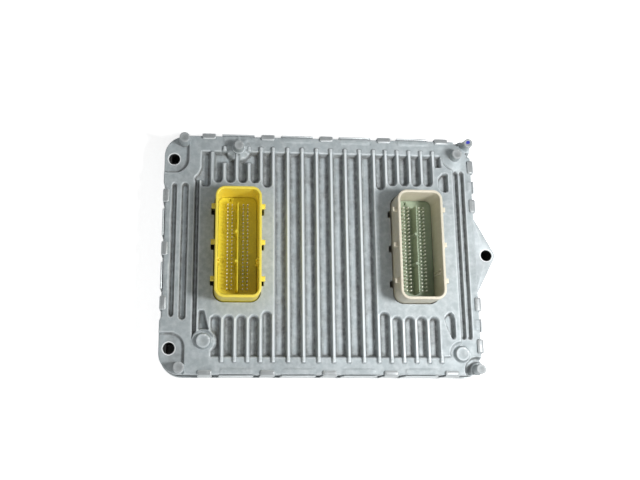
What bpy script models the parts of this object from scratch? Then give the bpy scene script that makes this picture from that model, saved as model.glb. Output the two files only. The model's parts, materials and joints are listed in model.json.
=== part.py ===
"""Engine control unit: a finned die-cast lid crimped into a pressed tray, with two plug headers.

The unit lies on its tray. X runs along the body, Y across it and Z up, towards the headers.
The origin is at the middle of the tray's underside. All lengths are in metres.
"""
import math

import bmesh
import bpy

MM = 0.001
QUARTER_STEPS = 4
SMALL_STEPS = 12
SEAT_GAP = 0.3 * MM

# Die-cast lid
LID_LENGTH = 193.0 * MM
LID_WIDTH = 147.0 * MM
LID_HEIGHT = 22.0 * MM
LID_CORNER_LEFT = 14.0 * MM
LID_CORNER_RIGHT = 9.0 * MM
LID_EDGE_CHAMFER = 0.7 * MM
LID_WALL = 3.0 * MM
ROOF_THICKNESS = 2.4 * MM

# Fins: ribs stand above the lid's edge band, channels are sunk below it
RIB_RISE = 1.5 * MM
CHANNEL_DEPTH = 3.5 * MM
RIB_TOP_WIDTH = 1.6 * MM
RIB_DRAFT = 1.3 * MM
END_DRAFT = 0.6 * MM
GROUP_PITCH = 7.62 * MM
GROUP_RIBS = 6
LEFT_GROUP_SHIFT = 2.9 * MM
RIGHT_GROUP_SHIFT = -4.8 * MM
CENTRE_PITCH = 9.15 * MM
CHANNEL_END_MARGIN = 10.0 * MM
RIB_END_MARGIN = 7.2 * MM
LONG_POCKET_REACH = 2.6 * MM
MERGED_CHANNEL_LENGTH = 7.8 * MM
MERGED_OVERRUN = 0.25 * MM
COMB_ROOT = 1.0 * MM
RIB_SIDE_STEP = 0.1 * MM

# The raised deck, and the round bites it has at three posts
LEFT_DECK_TOP = 1.5 * MM
LEFT_DECK_STEP = 0.6 * MM
LEFT_BITE_RADIUS = 6.7 * MM
RIGHT_BITE_RADIUS = 7.4 * MM
SECOND_BITE_RADIUS = 8.9 * MM
LAND_STEP = 0.2 * MM
LAND_SPREAD = 0.4 * MM

# Pockets beside the right-hand ribs, as shares of the room between a pad's end and the channels' end
POCKET_DRAFT = 1.0 * MM
POCKET_DRAFT_SHARE = 0.2
FAR_POCKET_FROM_RIB = 2.85 * MM
FAR_POCKET_WIDTH = 6.25 * MM
FAR_POCKET_REACH = 3.5 * MM
FAR_POCKET_SHARE = 0.436
FAR_POCKET_SHAPE = ((0.6, 0.0), (0.85, 0.04), (1.0, 0.14), (1.0, 0.86), (0.9, 0.97), (0.7, 1.0), (0.45, 0.96),
                    (0.04, 0.78), (0.0, 0.7), (0.0, 0.24), (0.3, 0.05))
NEAR_POCKET_FROM_RIB = 2.3 * MM
NEAR_POCKET_WIDTH = 6.85 * MM
NEAR_POCKET_REACH = 2.6 * MM
NEAR_POCKET_SHARE = 0.545
NEAR_POCKET_SHAPE = ((0.68, 0.0), (0.88, 0.03), (1.0, 0.14), (1.0, 0.62), (0.88, 0.88), (0.62, 1.0),
                     (0.42, 0.98), (0.06, 0.84), (0.0, 0.74), (0.22, 0.42), (0.5, 0.06))
SHORT_POCKET_WIDTH = 4.4 * MM
SHORT_POCKET_LENGTH = 8.0 * MM

# The slanting pocket at the near left, and the recess that runs round the far left lug
SLANT_POCKET_FROM_RIB = 6.75 * MM
SLANT_POCKET_WIDTH = 6.3 * MM
SLANT_POCKET_REACH = 2.65 * MM
SLANT_POCKET_OVERLAP = 1.2 * MM
SLANT_POCKET_SHAPE = ((0.0, 0.0), (0.45, 0.0), (0.95, 0.14), (1.0, 0.25), (0.68, 0.72), (0.42, 0.97),
                      (0.25, 1.0), (0.06, 0.92), (0.0, 0.84))
LUG_RECESS_RADIUS = 17.9 * MM
LUG_RECESS_WIDTH = 4.0 * MM
LUG_RECESS_START = 12.0
LUG_RECESS_STOP = 35.3

# Plain channels along the two short sides: distance from the edge, width, end distances from the long edges
LEFT_CHANNELS = (
    (5.4 * MM, 3.2 * MM, 31.2 * MM, 33.5 * MM),
    (12.0 * MM, 4.4 * MM, 30.8 * MM, 31.8 * MM),
    (19.3 * MM, 2.8 * MM, 26.0 * MM, 19.5 * MM),
)
RIGHT_CHANNELS = (
    (10.3 * MM, 3.1 * MM, 19.8 * MM, 21.1 * MM),
    (6.5 * MM, 3.1 * MM, 19.8 * MM, 21.1 * MM),
)
SIDE_CHANNEL_DRAFT = 0.7 * MM
PAD_RIGHT_MARGIN = 12.5 * MM

# Mounting lugs
MOUNT_HOLE_RADIUS = 3.4 * MM
LUG_DROP = 2.5 * MM
LUG_PAD_RADIUS = 9.5 * MM
LUG_BOSS_RADIUS = 6.2 * MM
LUG_INSET_X = 4.7 * MM
LUG_INSET_Y = 15.1 * MM
EAR_REACH = 7.4 * MM
EAR_TIP_RADIUS = 5.4 * MM
EAR_HALF_SPAN = 25.0 * MM
EAR_THICKNESS = 9.5 * MM

# Ejector posts; insets are measured from the lid's edges
POST_HEIGHT = 8.0 * MM
POST_TAPER = 0.5 * MM
POST_ROOT = 1.0 * MM
POST_RADIUS = 2.8 * MM
POST_INSET = 3.2 * MM
LEFT_POST_INSET = 11.3 * MM
SECOND_POST_INSET = 11.2 * MM
SECOND_POST_RADIUS = 3.0 * MM
SECOND_POST_FLARE = 8.4 * MM
SECOND_POST_CONE = 1.8 * MM
FIN_POST_INSET = 8.9 * MM
FIN_POST_FROM_RIB = 0.6 * MM
FIN_POST_FLARE = 7.6 * MM
FIN_POST_SPREAD = 1.0 * MM
FIN_POST_STEP = 0.2 * MM
FIN_POST_CONE = 2.2 * MM
CORNER_SINK_RADIUS = 6.6 * MM
CORNER_SINK_DEPTH = 4.0 * MM
BIG_POST_RADIUS = 4.4 * MM
BIG_POST_RISE = 3.0 * MM
BIG_POST_INSET_X = 24.9 * MM
BIG_POST_INSET_Y = 19.3 * MM
BIG_POST_RIGHT_INSET = 12.4 * MM

# Plug headers
HEADER_LENGTH = 66.5 * MM
HEADER_WIDTH = 27.5 * MM
HEADER_CORNER = 5.8 * MM
HEADER_WALL = 1.7 * MM
HEADER_RISE = 20.0 * MM
HEADER_CLEARANCE = 0.6 * MM
HEADER_COLLAR = 3.0 * MM
HEADER_SEAL_THICKNESS = 1.9 * MM
HEADER_OFFSET_Y = 2.6 * MM
YELLOW_FROM_EDGE = 44.5 * MM
GREY_FROM_EDGE = 39.0 * MM
PAD_MARGIN_TOP = 6.9 * MM
PAD_MARGIN_BOTTOM = 8.1 * MM
HEADER_TAB_PITCH = 21.8 * MM
HEADER_TAB_LENGTH = 2.8 * MM
HEADER_TAB_REACH = 2.0 * MM
HEADER_TAB_HEIGHT = 2.2 * MM
HEADER_TAB_DROP = 3.6 * MM
TAB_SLOT_LENGTH = 4.3 * MM
TAB_SLOT_CLEARANCE = 0.4 * MM
KEY_WIDTH = 0.8 * MM
KEY_REACH = 0.8 * MM
KEY_SPACING = 2.2 * MM
KEY_DROP = 1.2 * MM
KEY_LENGTH = 13.0 * MM
YELLOW_KEY_Y = -15.0 * MM
GREY_KEY_Y = -20.0 * MM

# Contacts
SOCKET_DEPTH = 21.0 * MM
PIN_PITCH = 2.25 * MM
PIN_FIELD_MARGIN = 5.0 * MM
PIN_COLUMNS = (-6.6 * MM, -4.1 * MM, 3.4 * MM, 5.9 * MM)
PIN_SIZE = 0.7 * MM
PIN_HEIGHT = 6.5 * MM
SPINE_WIDTH = 0.8 * MM
SPINE_HEIGHT = 1.0 * MM
PIN_TIP_SHARE = 0.7

# Pressed tray
SHEET = 1.2 * MM
TRAY_RIM = 6.0 * MM
TAB_WIDTH = 8.5 * MM
TAB_REACH = 4.0 * MM
TAB_PITCH = 37.0 * MM
TAB_COUNT = 5
TAB_CENTRE = 3.6 * MM
LEFT_TAB_PITCH = 33.0 * MM
LEFT_TAB_COUNT = 3
LEFT_TAB_CENTRE = 1.2 * MM
RIGHT_TAB_OUTER = 56.4 * MM
RIGHT_TAB_INNER = 31.0 * MM
BAR_LENGTH = 20.5 * MM
LEFT_BAR_LENGTH = 17.0 * MM
RIGHT_BAR_LENGTH = 8.0 * MM
BAR_DROP = 0.8 * MM
BOSS_CLEARANCE = 0.7 * MM
LAND_DEPTH = 3.0 * MM
LAND_RISE = 0.6 * MM
LAND_END_GAP = 1.0 * MM
LAND_EDGE_GAP = 0.1 * MM

# Seal, board and the parts that stand on it
SEAL_THICKNESS = 1.0 * MM
SEAL_MARGIN = 0.4 * MM
BOARD_THICKNESS = 1.6 * MM
BOARD_CLEARANCE = 0.6 * MM
COMPONENT_ROOM = 6.5 * MM
STANDOFF_RADIUS = 3.6 * MM
STANDOFF_INSET_X = 18.0 * MM
STANDOFF_INSET_Y = 12.5 * MM
SCREW_RADIUS = 1.4 * MM
SCREW_HEAD_RADIUS = 2.8 * MM
SCREW_HEAD_HEIGHT = 1.8 * MM
SCREW_DEPTH = 4.0 * MM
CHIP_HEIGHT = 2.0 * MM
THERMAL_PAD = 1.0 * MM
DRIVER_SIZE = 14.0 * MM
CONTROLLER_SIZE = 27.0 * MM
ROW_CLEARANCE = 3.0 * MM
CAN_RADIUS = 3.2 * MM
CAN_HEIGHT = 5.4 * MM
INDUCTOR_SIZE = 10.0 * MM
INDUCTOR_HEIGHT = 4.6 * MM
TRANSISTOR_SIZE = 9.5 * MM
TRANSISTOR_HEIGHT = 4.4 * MM
CRYSTAL_LENGTH = 11.0 * MM
CRYSTAL_WIDTH = 4.6 * MM
CRYSTAL_HEIGHT = 3.6 * MM

# Heights worked out from the sizes above
HALF_X = LID_LENGTH / 2
HALF_Y = LID_WIDTH / 2
LID_FOOT = SHEET + SEAT_GAP + SEAL_THICKNESS + SEAT_GAP
DECK_TOP = LID_HEIGHT + RIB_RISE
CHANNEL_FLOOR = LID_HEIGHT - CHANNEL_DEPTH
ROOF = CHANNEL_FLOOR - ROOF_THICKNESS
BOARD_TOP = ROOF - COMPONENT_ROOM
ON_BOARD = BOARD_TOP + SEAT_GAP
COLLAR_TOP = ROOF - SEAT_GAP - HEADER_SEAL_THICKNESS - SEAT_GAP
HEADER_TOP = LID_HEIGHT + HEADER_RISE
SOCKET_FLOOR = HEADER_TOP - SOCKET_DEPTH
LUG_TOP = LID_HEIGHT - LUG_DROP
TRAY_X = HALF_X + SEAT_GAP + SHEET
TRAY_Y = HALF_Y + SEAT_GAP + SHEET
OVERCUT = 2.0 * MM
CHANNEL_OVERCUT = 0.5 * MM

YELLOW_X = -HALF_X + YELLOW_FROM_EDGE
GREY_X = HALF_X - GREY_FROM_EDGE
HEADER_Y = HEADER_OFFSET_Y
PAD_TOP = HEADER_Y + HEADER_LENGTH / 2 + PAD_MARGIN_TOP
PAD_BOTTOM = HEADER_Y - HEADER_LENGTH / 2 - PAD_MARGIN_BOTTOM
CHANNEL_END = HALF_Y - CHANNEL_END_MARGIN
RIB_END = HALF_Y - RIB_END_MARGIN
LUG_X = -HALF_X + LUG_INSET_X
LUG_Y = HALF_Y - LUG_INSET_Y
EAR_X = HALF_X + EAR_REACH
FIN_POST_X = YELLOW_X + LEFT_GROUP_SHIFT - GROUP_PITCH / 2 + FIN_POST_FROM_RIB
FIN_POST_Y = HALF_Y - FIN_POST_INSET
SECOND_POST = (HALF_X - SECOND_POST_INSET, HALF_Y - SECOND_POST_INSET)
LEFT_BIG_POST = (-HALF_X + BIG_POST_INSET_X, -HALF_Y + BIG_POST_INSET_Y)
RIGHT_BIG_POST = (HALF_X - BIG_POST_RIGHT_INSET, -HALF_Y + BIG_POST_RIGHT_INSET)


def clear_scene():
    """Remove every object of the open file."""
    for thing in list(bpy.data.objects):
        bpy.data.objects.remove(thing, do_unlink=True)


def material(name, colour, roughness, metallic=0.0):
    """A plain Principled material."""
    made = bpy.data.materials.new(name)
    made.use_nodes = True
    shader = made.node_tree.nodes["Principled BSDF"]
    shader.inputs["Base Color"].default_value = (*colour, 1.0)
    shader.inputs["Roughness"].default_value = roughness
    shader.inputs["Metallic"].default_value = metallic
    return made


def arc(cx, cy, radius, start, stop, steps=QUARTER_STEPS):
    """Points along an arc, from start to stop degrees."""
    angles = [math.radians(start + (stop - start) * i / steps) for i in range(steps + 1)]
    return [(cx + radius * math.cos(a), cy + radius * math.sin(a)) for a in angles]


def circle(cx, cy, radius, steps=5 * QUARTER_STEPS):
    """Points round a full circle."""
    return arc(cx, cy, radius, 0.0, 360.0 * (steps - 1) / steps, steps - 1)


def rectangle(x0, x1, y0, y1):
    """The four corners of an upright rectangle."""
    return [(x0, y0), (x1, y0), (x1, y1), (x0, y1)]


def rounded(x0, x1, y0, y1, left, right=None):
    """A rectangle with one radius at its left corners and one at its right corners."""
    right = left if right is None else right
    outline = arc(x0 + left, y0 + left, left, 180.0, 270.0)
    outline += arc(x1 - right, y0 + right, right, 270.0, 360.0)
    outline += arc(x1 - right, y1 - right, right, 0.0, 90.0)
    outline += arc(x0 + left, y1 - left, left, 90.0, 180.0)
    return outline


def cut_corners(x, y, half, corner):
    """A square round a middle, with its corners cut off."""
    inner = half - corner
    return [(x - inner, y - half), (x + inner, y - half), (x + half, y - inner), (x + half, y + inner),
            (x + inner, y + half), (x - inner, y + half), (x - half, y + inner), (x - half, y - inner)]


def lid_outline(inset=0.0):
    """The lid's plan, drawn in by an inset or out by a negative one."""
    return rounded(-HALF_X + inset, HALF_X - inset, -HALF_Y + inset, HALF_Y - inset,
                   max(LID_CORNER_LEFT - inset, 1.0 * MM), max(LID_CORNER_RIGHT - inset, 1.0 * MM))


def header_outline(x, inset=0.0):
    """The header's plan round its own middle."""
    half_w = HEADER_WIDTH / 2 - inset
    half_l = HEADER_LENGTH / 2 - inset
    return rounded(x - half_w, x + half_w, HEADER_Y - half_l, HEADER_Y + half_l,
                   max(HEADER_CORNER - inset, 0.5 * MM))


def add_loft(mesh, levels):
    """Add one closed body: outlines of equal count at rising heights, capped at both ends."""
    rings = [[mesh.verts.new((x, y, z)) for x, y in outline] for z, outline in levels]
    count = len(rings[0])
    for low, high in zip(rings, rings[1:]):
        for i in range(count):
            j = (i + 1) % count
            mesh.faces.new((low[i], low[j], high[j], high[i]))
    mesh.faces.new(rings[0][::-1])
    mesh.faces.new(rings[-1])


def finish(name, mesh, finish_material=None):
    """Turn an edit mesh into an object with its faces pointing out."""
    bmesh.ops.recalc_face_normals(mesh, faces=mesh.faces)
    data = bpy.data.meshes.new(name)
    mesh.to_mesh(data)
    mesh.free()
    made = bpy.data.objects.new(name, data)
    bpy.context.collection.objects.link(made)
    if finish_material:
        data.materials.append(finish_material)
    return made


def solids(name, bodies, finish_material=None):
    """One object made of several closed lofts."""
    mesh = bmesh.new()
    for levels in bodies:
        add_loft(mesh, levels)
    return finish(name, mesh, finish_material)


def prism(outline, low, high):
    """The levels of a straight extrusion."""
    return [(low, outline), (high, outline)]


def combine(body, tool, operation):
    """Join the tool to the body, or cut it away, and keep the result as the body's mesh."""
    modifier = body.modifiers.new("combine", "BOOLEAN")
    modifier.operation = operation
    modifier.solver = "EXACT"
    modifier.object = tool
    graph = bpy.context.evaluated_depsgraph_get()
    result = bpy.data.meshes.new_from_object(body.evaluated_get(graph))
    body.modifiers.clear()
    worn = body.data
    body.data = result
    result.name = body.name
    bpy.data.meshes.remove(worn)
    bpy.data.objects.remove(tool, do_unlink=True)


def join(body, bodies):
    """Fuse closed lofts to a body, one at a time."""
    for levels in bodies:
        combine(body, solids("joined", [levels]), "UNION")


def cut(body, bodies):
    """Cut closed lofts out of a body."""
    combine(body, solids("cutter", bodies), "DIFFERENCE")


def flatten(body):
    """Dissolve the edges that lie inside flat faces, and shade round faces smooth."""
    mesh = bmesh.new()
    mesh.from_mesh(body.data)
    bmesh.ops.remove_doubles(mesh, verts=mesh.verts, dist=0.002 * MM)
    bmesh.ops.dissolve_limit(mesh, angle_limit=math.radians(0.2), verts=mesh.verts, edges=mesh.edges)
    bmesh.ops.delete(mesh, geom=[vert for vert in mesh.verts if not vert.link_faces], context="VERTS")
    mesh.to_mesh(body.data)
    mesh.free()
    body.data.shade_smooth()
    body.data.set_sharp_from_angle(angle=math.radians(32.0))


def rib_lines():
    """Middles of all ribs: a close group over each header and wider ones between them."""
    half_group = (GROUP_RIBS - 1) * GROUP_PITCH / 2
    left_middle = YELLOW_X + LEFT_GROUP_SHIFT
    right_middle = GREY_X + RIGHT_GROUP_SHIFT
    left = [left_middle - half_group + i * GROUP_PITCH for i in range(GROUP_RIBS)]
    right = [right_middle - half_group + i * GROUP_PITCH for i in range(GROUP_RIBS)]
    span = right[0] - left[-1]
    gaps = max(1, round(span / CENTRE_PITCH))
    centre = [left[-1] + span * i / gaps for i in range(1, gaps)]
    return left, centre, right


def channel(x0, x1, y0, y1, round_low=False, round_high=False, draft=RIB_DRAFT):
    """A drafted slot between two lines, its ends square or round, from its floor to above the ribs."""
    levels = []
    slope = draft / (DECK_TOP - CHANNEL_FLOOR)
    for z in (CHANNEL_FLOOR, DECK_TOP + CHANNEL_OVERCUT):
        side = slope * (DECK_TOP - z)
        end = side * END_DRAFT / RIB_DRAFT
        left, right = x0 + side, x1 - side
        low, high = y0 + end, y1 - end
        r = (right - left) / 2
        mid = (left + right) / 2
        near = [(left, low), (right, low)]
        far = [(right, high), (left, high)]
        if round_low:
            near = arc(mid, low + r, r, 180.0, 360.0, 2 * QUARTER_STEPS)
        if round_high:
            far = arc(mid, high - r, r, 0.0, 180.0, 2 * QUARTER_STEPS)
        levels.append((z, near + far))
    return levels


def fin_channels():
    """Every channel between the ribs, long ones in the middle and short ones beside the headers."""
    left, centre, right = rib_lines()
    half = RIB_TOP_WIDTH / 2
    long_lines = [left[-1]] + centre + [right[0]]
    cuts = [channel(a + half, b - half, -CHANNEL_END, CHANNEL_END)
            for a, b in zip(long_lines, long_lines[1:])]
    for group, outer in ((left, left[-2]), (right, right[0])):
        for a, b in zip(group, group[1:]):
            reach = LONG_POCKET_REACH if a == outer else 0.0
            cuts.append(channel(a + half, b - half, PAD_TOP - reach, CHANNEL_END, round_low=True))
            cuts.append(channel(a + half, b - half, -CHANNEL_END, PAD_BOTTOM + reach, round_high=True))
    first = left[0] - GROUP_PITCH
    cuts.append(channel(first + half, left[0] - half, PAD_TOP - LONG_POCKET_REACH, CHANNEL_END,
                        round_low=True))
    return cuts


def merged_corners():
    """Floor-level cuts where the ribs on either side of the fin post stop short of it."""
    left, _, _ = rib_lines()
    start = CHANNEL_END - MERGED_CHANNEL_LENGTH
    stop = CHANNEL_END + MERGED_OVERRUN
    reach = GROUP_PITCH / 2
    return [channel(line - reach, line + reach, start, stop) for line in (left[1], left[3])]


def side_channels():
    """Narrow channels along the two short sides, and the pockets by the right-hand header."""
    cuts = []
    for place, width, top, bottom in LEFT_CHANNELS:
        x = -HALF_X + place
        cuts.append(channel(x - width / 2, x + width / 2, -HALF_Y + bottom, HALF_Y - top, True, True,
                            SIDE_CHANNEL_DRAFT))
    for place, width, top, bottom in RIGHT_CHANNELS:
        x = HALF_X - place
        cuts.append(channel(x - width / 2, x + width / 2, -HALF_Y + bottom, HALF_Y - top, True, True,
                            SIDE_CHANNEL_DRAFT))
    return cuts


def shaped_pocket(x, y, width, length, shape):
    """A pocket whose outline is given in shares of its width and length, drawn in towards its floor."""
    draw_in = min(POCKET_DRAFT, POCKET_DRAFT_SHARE * width, POCKET_DRAFT_SHARE * length)
    levels = []
    for z, inset in ((CHANNEL_FLOOR, draw_in), (DECK_TOP + OVERCUT, 0.0)):
        wide = width - 2 * inset
        tall = length - 2 * inset
        levels.append((z, [(x + inset + across * wide, y + inset + along * tall) for across, along in shape]))
    return levels


def corner_pockets():
    """The shaped pockets at the ends of the two pads, and the short one beside the second post."""
    left, _, right = rib_lines()
    far_room = CHANNEL_END - PAD_TOP
    near_room = CHANNEL_END + PAD_BOTTOM
    far_length = FAR_POCKET_REACH + FAR_POCKET_SHARE * far_room
    near_low = PAD_BOTTOM - NEAR_POCKET_SHARE * near_room
    slant_low = LEFT_BIG_POST[1] + LEFT_BITE_RADIUS - SLANT_POCKET_OVERLAP
    slant_length = max(PAD_BOTTOM + SLANT_POCKET_REACH - slant_low, SLANT_POCKET_WIDTH / 2)
    short = right[-1] + RIB_TOP_WIDTH / 2
    short_length = min(SHORT_POCKET_LENGTH, far_room - far_length + FAR_POCKET_REACH - RIB_TOP_WIDTH)
    return [
        shaped_pocket(right[-1] + FAR_POCKET_FROM_RIB, PAD_TOP - FAR_POCKET_REACH, FAR_POCKET_WIDTH,
                      far_length, FAR_POCKET_SHAPE),
        shaped_pocket(right[-1] + NEAR_POCKET_FROM_RIB, near_low, NEAR_POCKET_WIDTH,
                      PAD_BOTTOM + NEAR_POCKET_REACH - near_low, NEAR_POCKET_SHAPE),
        shaped_pocket(left[0] - SLANT_POCKET_FROM_RIB, slant_low, SLANT_POCKET_WIDTH, slant_length,
                      SLANT_POCKET_SHAPE),
        channel(short, short + SHORT_POCKET_WIDTH, CHANNEL_END - short_length, CHANNEL_END),
    ]


def lug_recess():
    """The recess that joins the third side channel to the first of the group, round the far left lug."""
    levels = []
    low = PAD_TOP + LEFT_DECK_TOP
    for z, inset in ((CHANNEL_FLOOR, END_DRAFT), (DECK_TOP + CHANNEL_OVERCUT, 0.0)):
        edge = arc(LUG_X, LUG_Y, LUG_RECESS_RADIUS + inset, -LUG_RECESS_START, -LUG_RECESS_STOP, 6)
        left_x = edge[-1][0]
        outline = [(left_x, low), (left_x + LUG_RECESS_WIDTH, low), (left_x + LUG_RECESS_WIDTH, edge[0][1])]
        levels.append((z, outline + edge))
    return levels


def deck_outline():
    """Plan of the raised deck: the ribs' ends stand out from it like the teeth of a comb."""
    left, centre, right = rib_lines()
    half = RIB_TOP_WIDTH / 2 + RIB_SIDE_STEP
    inner = CHANNEL_END - COMB_ROOT
    pad_left = left[0] - GROUP_PITCH + RIB_TOP_WIDTH / 2 - LEFT_DECK_STEP
    pad_right = GREY_X + HEADER_WIDTH / 2 + PAD_RIGHT_MARGIN
    lines = left + centre + right
    start = lines[1] - half - GROUP_PITCH / 2
    outline = [(pad_left, LEFT_BIG_POST[1]), (start, LEFT_BIG_POST[1]), (start, -inner)]
    for line in lines[1:]:
        outline += [(line - half, -inner), (line - half, -RIB_END)]
        outline += [(line + half, -RIB_END), (line + half, -inner)]
    outline += [(pad_right, -inner), (pad_right, inner)]
    for line in reversed(lines):
        outline += [(line + half, inner), (line + half, RIB_END)]
        outline += [(line - half, RIB_END), (line - half, inner)]
    stop = left[0] - GROUP_PITCH / 2
    outline += [(stop, inner), (stop, PAD_TOP + LEFT_DECK_TOP), (pad_left, PAD_TOP + LEFT_DECK_TOP)]
    return outline


def deck_bites():
    """Round bites in the deck, down to the band, at the two big posts and the second post."""
    places = ((LEFT_BIG_POST, LEFT_BITE_RADIUS), (RIGHT_BIG_POST, RIGHT_BITE_RADIUS),
              (SECOND_POST, SECOND_BITE_RADIUS))
    return [prism(circle(x, y, radius), LID_HEIGHT, DECK_TOP + OVERCUT) for (x, y), radius in places]


def post(x, y, radius, low, high):
    """A tapered round post."""
    return [(low, circle(x, y, radius + POST_TAPER)), (high, circle(x, y, radius))]


def lid_posts():
    """The ejector posts at the corners, and the two big ones."""
    top = LID_HEIGHT + POST_HEIGHT
    on_band = LID_HEIGHT - POST_ROOT
    in_sink = LID_HEIGHT - CORNER_SINK_DEPTH - POST_ROOT
    on_lug = LUG_TOP - POST_ROOT
    right_x = HALF_X - POST_INSET
    left_x = -HALF_X + LEFT_POST_INSET
    corner_y = HALF_Y - POST_INSET
    big_top = LID_HEIGHT + BIG_POST_RISE
    return [
        post(right_x, corner_y, POST_RADIUS, in_sink, top),
        post(right_x, -corner_y, POST_RADIUS, in_sink, top),
        post(left_x, corner_y, POST_RADIUS, on_lug, top),
        post(left_x, -corner_y, POST_RADIUS, on_lug, top),
        post(*SECOND_POST, SECOND_POST_RADIUS, on_band, top),
        post(*LEFT_BIG_POST, BIG_POST_RADIUS, on_band, big_top),
        post(*RIGHT_BIG_POST, BIG_POST_RADIUS, on_band, big_top),
    ]


def left_land():
    """The round land under the left big post, where a channel and the slanting pocket run into it."""
    x, y = LEFT_BIG_POST
    top = LEFT_BITE_RADIUS + LAND_STEP
    return [(CHANNEL_FLOOR - POST_ROOT, circle(x, y, top + LAND_SPREAD)),
            (LID_HEIGHT + LAND_STEP, circle(x, y, top))]


def second_cone():
    """The flared foot of the second post."""
    x, y = SECOND_POST
    return [(LID_HEIGHT - POST_ROOT, circle(x, y, SECOND_POST_FLARE)),
            (LID_HEIGHT + FIN_POST_STEP, circle(x, y, SECOND_POST_FLARE)),
            (LID_HEIGHT + SECOND_POST_CONE, circle(x, y, SECOND_POST_RADIUS + POST_TAPER + FIN_POST_STEP))]


def fin_post():
    """The post among the fins: a cone up to the band, then the post on it."""
    x, y = FIN_POST_X, FIN_POST_Y
    return [
        (CHANNEL_FLOOR - POST_ROOT, circle(x, y, FIN_POST_FLARE + FIN_POST_SPREAD)),
        (LID_HEIGHT + FIN_POST_STEP, circle(x, y, FIN_POST_FLARE)),
        (LID_HEIGHT + FIN_POST_CONE, circle(x, y, POST_RADIUS + POST_TAPER)),
        (LID_HEIGHT + POST_HEIGHT, circle(x, y, POST_RADIUS)),
    ]


def ear_outline():
    """The triangular mounting ear on the right side, with a round tip."""
    run = EAR_REACH
    tip = EAR_TIP_RADIUS
    reach = math.hypot(run, EAR_HALF_SPAN)
    swing = math.degrees(math.atan2(EAR_HALF_SPAN, -run) - math.acos(min(1.0, tip / reach)))
    root = HALF_X - 1.0 * MM
    inner = [(root, EAR_HALF_SPAN), (root, -EAR_HALF_SPAN), (HALF_X, -EAR_HALF_SPAN)]
    return inner + arc(EAR_X, 0.0, tip, -swing, swing, 2 * QUARTER_STEPS) + [(HALF_X, EAR_HALF_SPAN)]


def lug_bosses():
    """The three mounting bosses, down to the mounting plane, and the ear's web."""
    bosses = [prism(ear_outline(), LUG_TOP - EAR_THICKNESS, LUG_TOP)]
    bosses.append(prism(circle(EAR_X, 0.0, EAR_TIP_RADIUS), 0.0, LUG_TOP - EAR_THICKNESS + 1.0 * MM))
    return bosses


def left_boss(side):
    """A corner boss below the lid's foot, flat where it meets the lid's short side."""
    reach = LUG_BOSS_RADIUS
    y = side * LUG_Y
    half = math.degrees(math.acos(min(1.0, (LUG_INSET_X - 0.02 * MM) / reach)))
    outline = arc(LUG_X, y, reach, -180.0 + half, 180.0 - half, 4 * QUARTER_STEPS)
    return prism(outline, 0.0, LID_FOOT + 1.0 * MM)


def boss_discs(radius, low, high):
    """Discs round the two left-hand bosses."""
    return [prism(circle(LUG_X, side * LUG_Y, radius), low, high) for side in (1, -1)]


def inner_space(name, inset, disc_radius, low, high):
    """The plan inside the lid's wall, bulging in round the two corner bosses, as one body."""
    space = solids(name, [prism(lid_outline(inset), low, high)])
    cut(space, boss_discs(disc_radius, low - OVERCUT, high + OVERCUT))
    return space


def standoff_places():
    """Six places where the board is screwed to the lid."""
    x = HALF_X - STANDOFF_INSET_X
    y = HALF_Y - STANDOFF_INSET_Y
    return [(px, py) for px in (-x, 0.0, x) for py in (-y, y)]


def driver_places():
    """The four power chips that stand under cast pedestals."""
    x = DRIVER_SIZE / 2 + 6.5 * MM
    top = HEADER_Y + HEADER_LENGTH / 2 + HEADER_COLLAR + ROW_CLEARANCE + DRIVER_SIZE / 2
    bottom = HEADER_Y - HEADER_LENGTH / 2 - HEADER_COLLAR - ROW_CLEARANCE - DRIVER_SIZE / 2
    return {
        "injector_driver": (-x, top),
        "ignition_driver": (x, top),
        "throttle_driver": (-x, bottom),
        "power_supply_chip": (x, bottom),
    }


def edge_box(edge, u0, u1, reach0, reach1, low, high):
    """A box along one edge of the body: u along the edge, reach inwards from the tray's outer face."""
    if edge == "top":
        return prism(rectangle(u0, u1, TRAY_Y - reach1, TRAY_Y - reach0), low, high)
    if edge == "bottom":
        return prism(rectangle(u0, u1, -TRAY_Y + reach0, -TRAY_Y + reach1), low, high)
    if edge == "left":
        return prism(rectangle(-TRAY_X + reach0, -TRAY_X + reach1, u0, u1), low, high)
    return prism(rectangle(TRAY_X - reach1, TRAY_X - reach0, u0, u1), low, high)


def long_tabs():
    """Middles of the crimp tabs along a long side."""
    start = TAB_CENTRE - (TAB_COUNT - 1) * TAB_PITCH / 2
    return [start + i * TAB_PITCH for i in range(TAB_COUNT)]


def left_tabs():
    """Middles of the crimp tabs along the left side."""
    start = LEFT_TAB_CENTRE - (LEFT_TAB_COUNT - 1) * LEFT_TAB_PITCH / 2
    return [start + i * LEFT_TAB_PITCH for i in range(LEFT_TAB_COUNT)]


def tray_sides():
    """Each side's crimp tabs in order, with the length of the bar that stands in each space, if any."""
    right = [-RIGHT_TAB_OUTER, -RIGHT_TAB_INNER, RIGHT_TAB_INNER, RIGHT_TAB_OUTER]
    return (
        ("top", long_tabs(), [BAR_LENGTH] * (TAB_COUNT - 1)),
        ("bottom", long_tabs(), [BAR_LENGTH] * (TAB_COUNT - 1)),
        ("left", left_tabs(), [LEFT_BAR_LENGTH] * (LEFT_TAB_COUNT - 1)),
        ("right", right, [RIGHT_BAR_LENGTH, 0.0, RIGHT_BAR_LENGTH]),
    )


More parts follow.
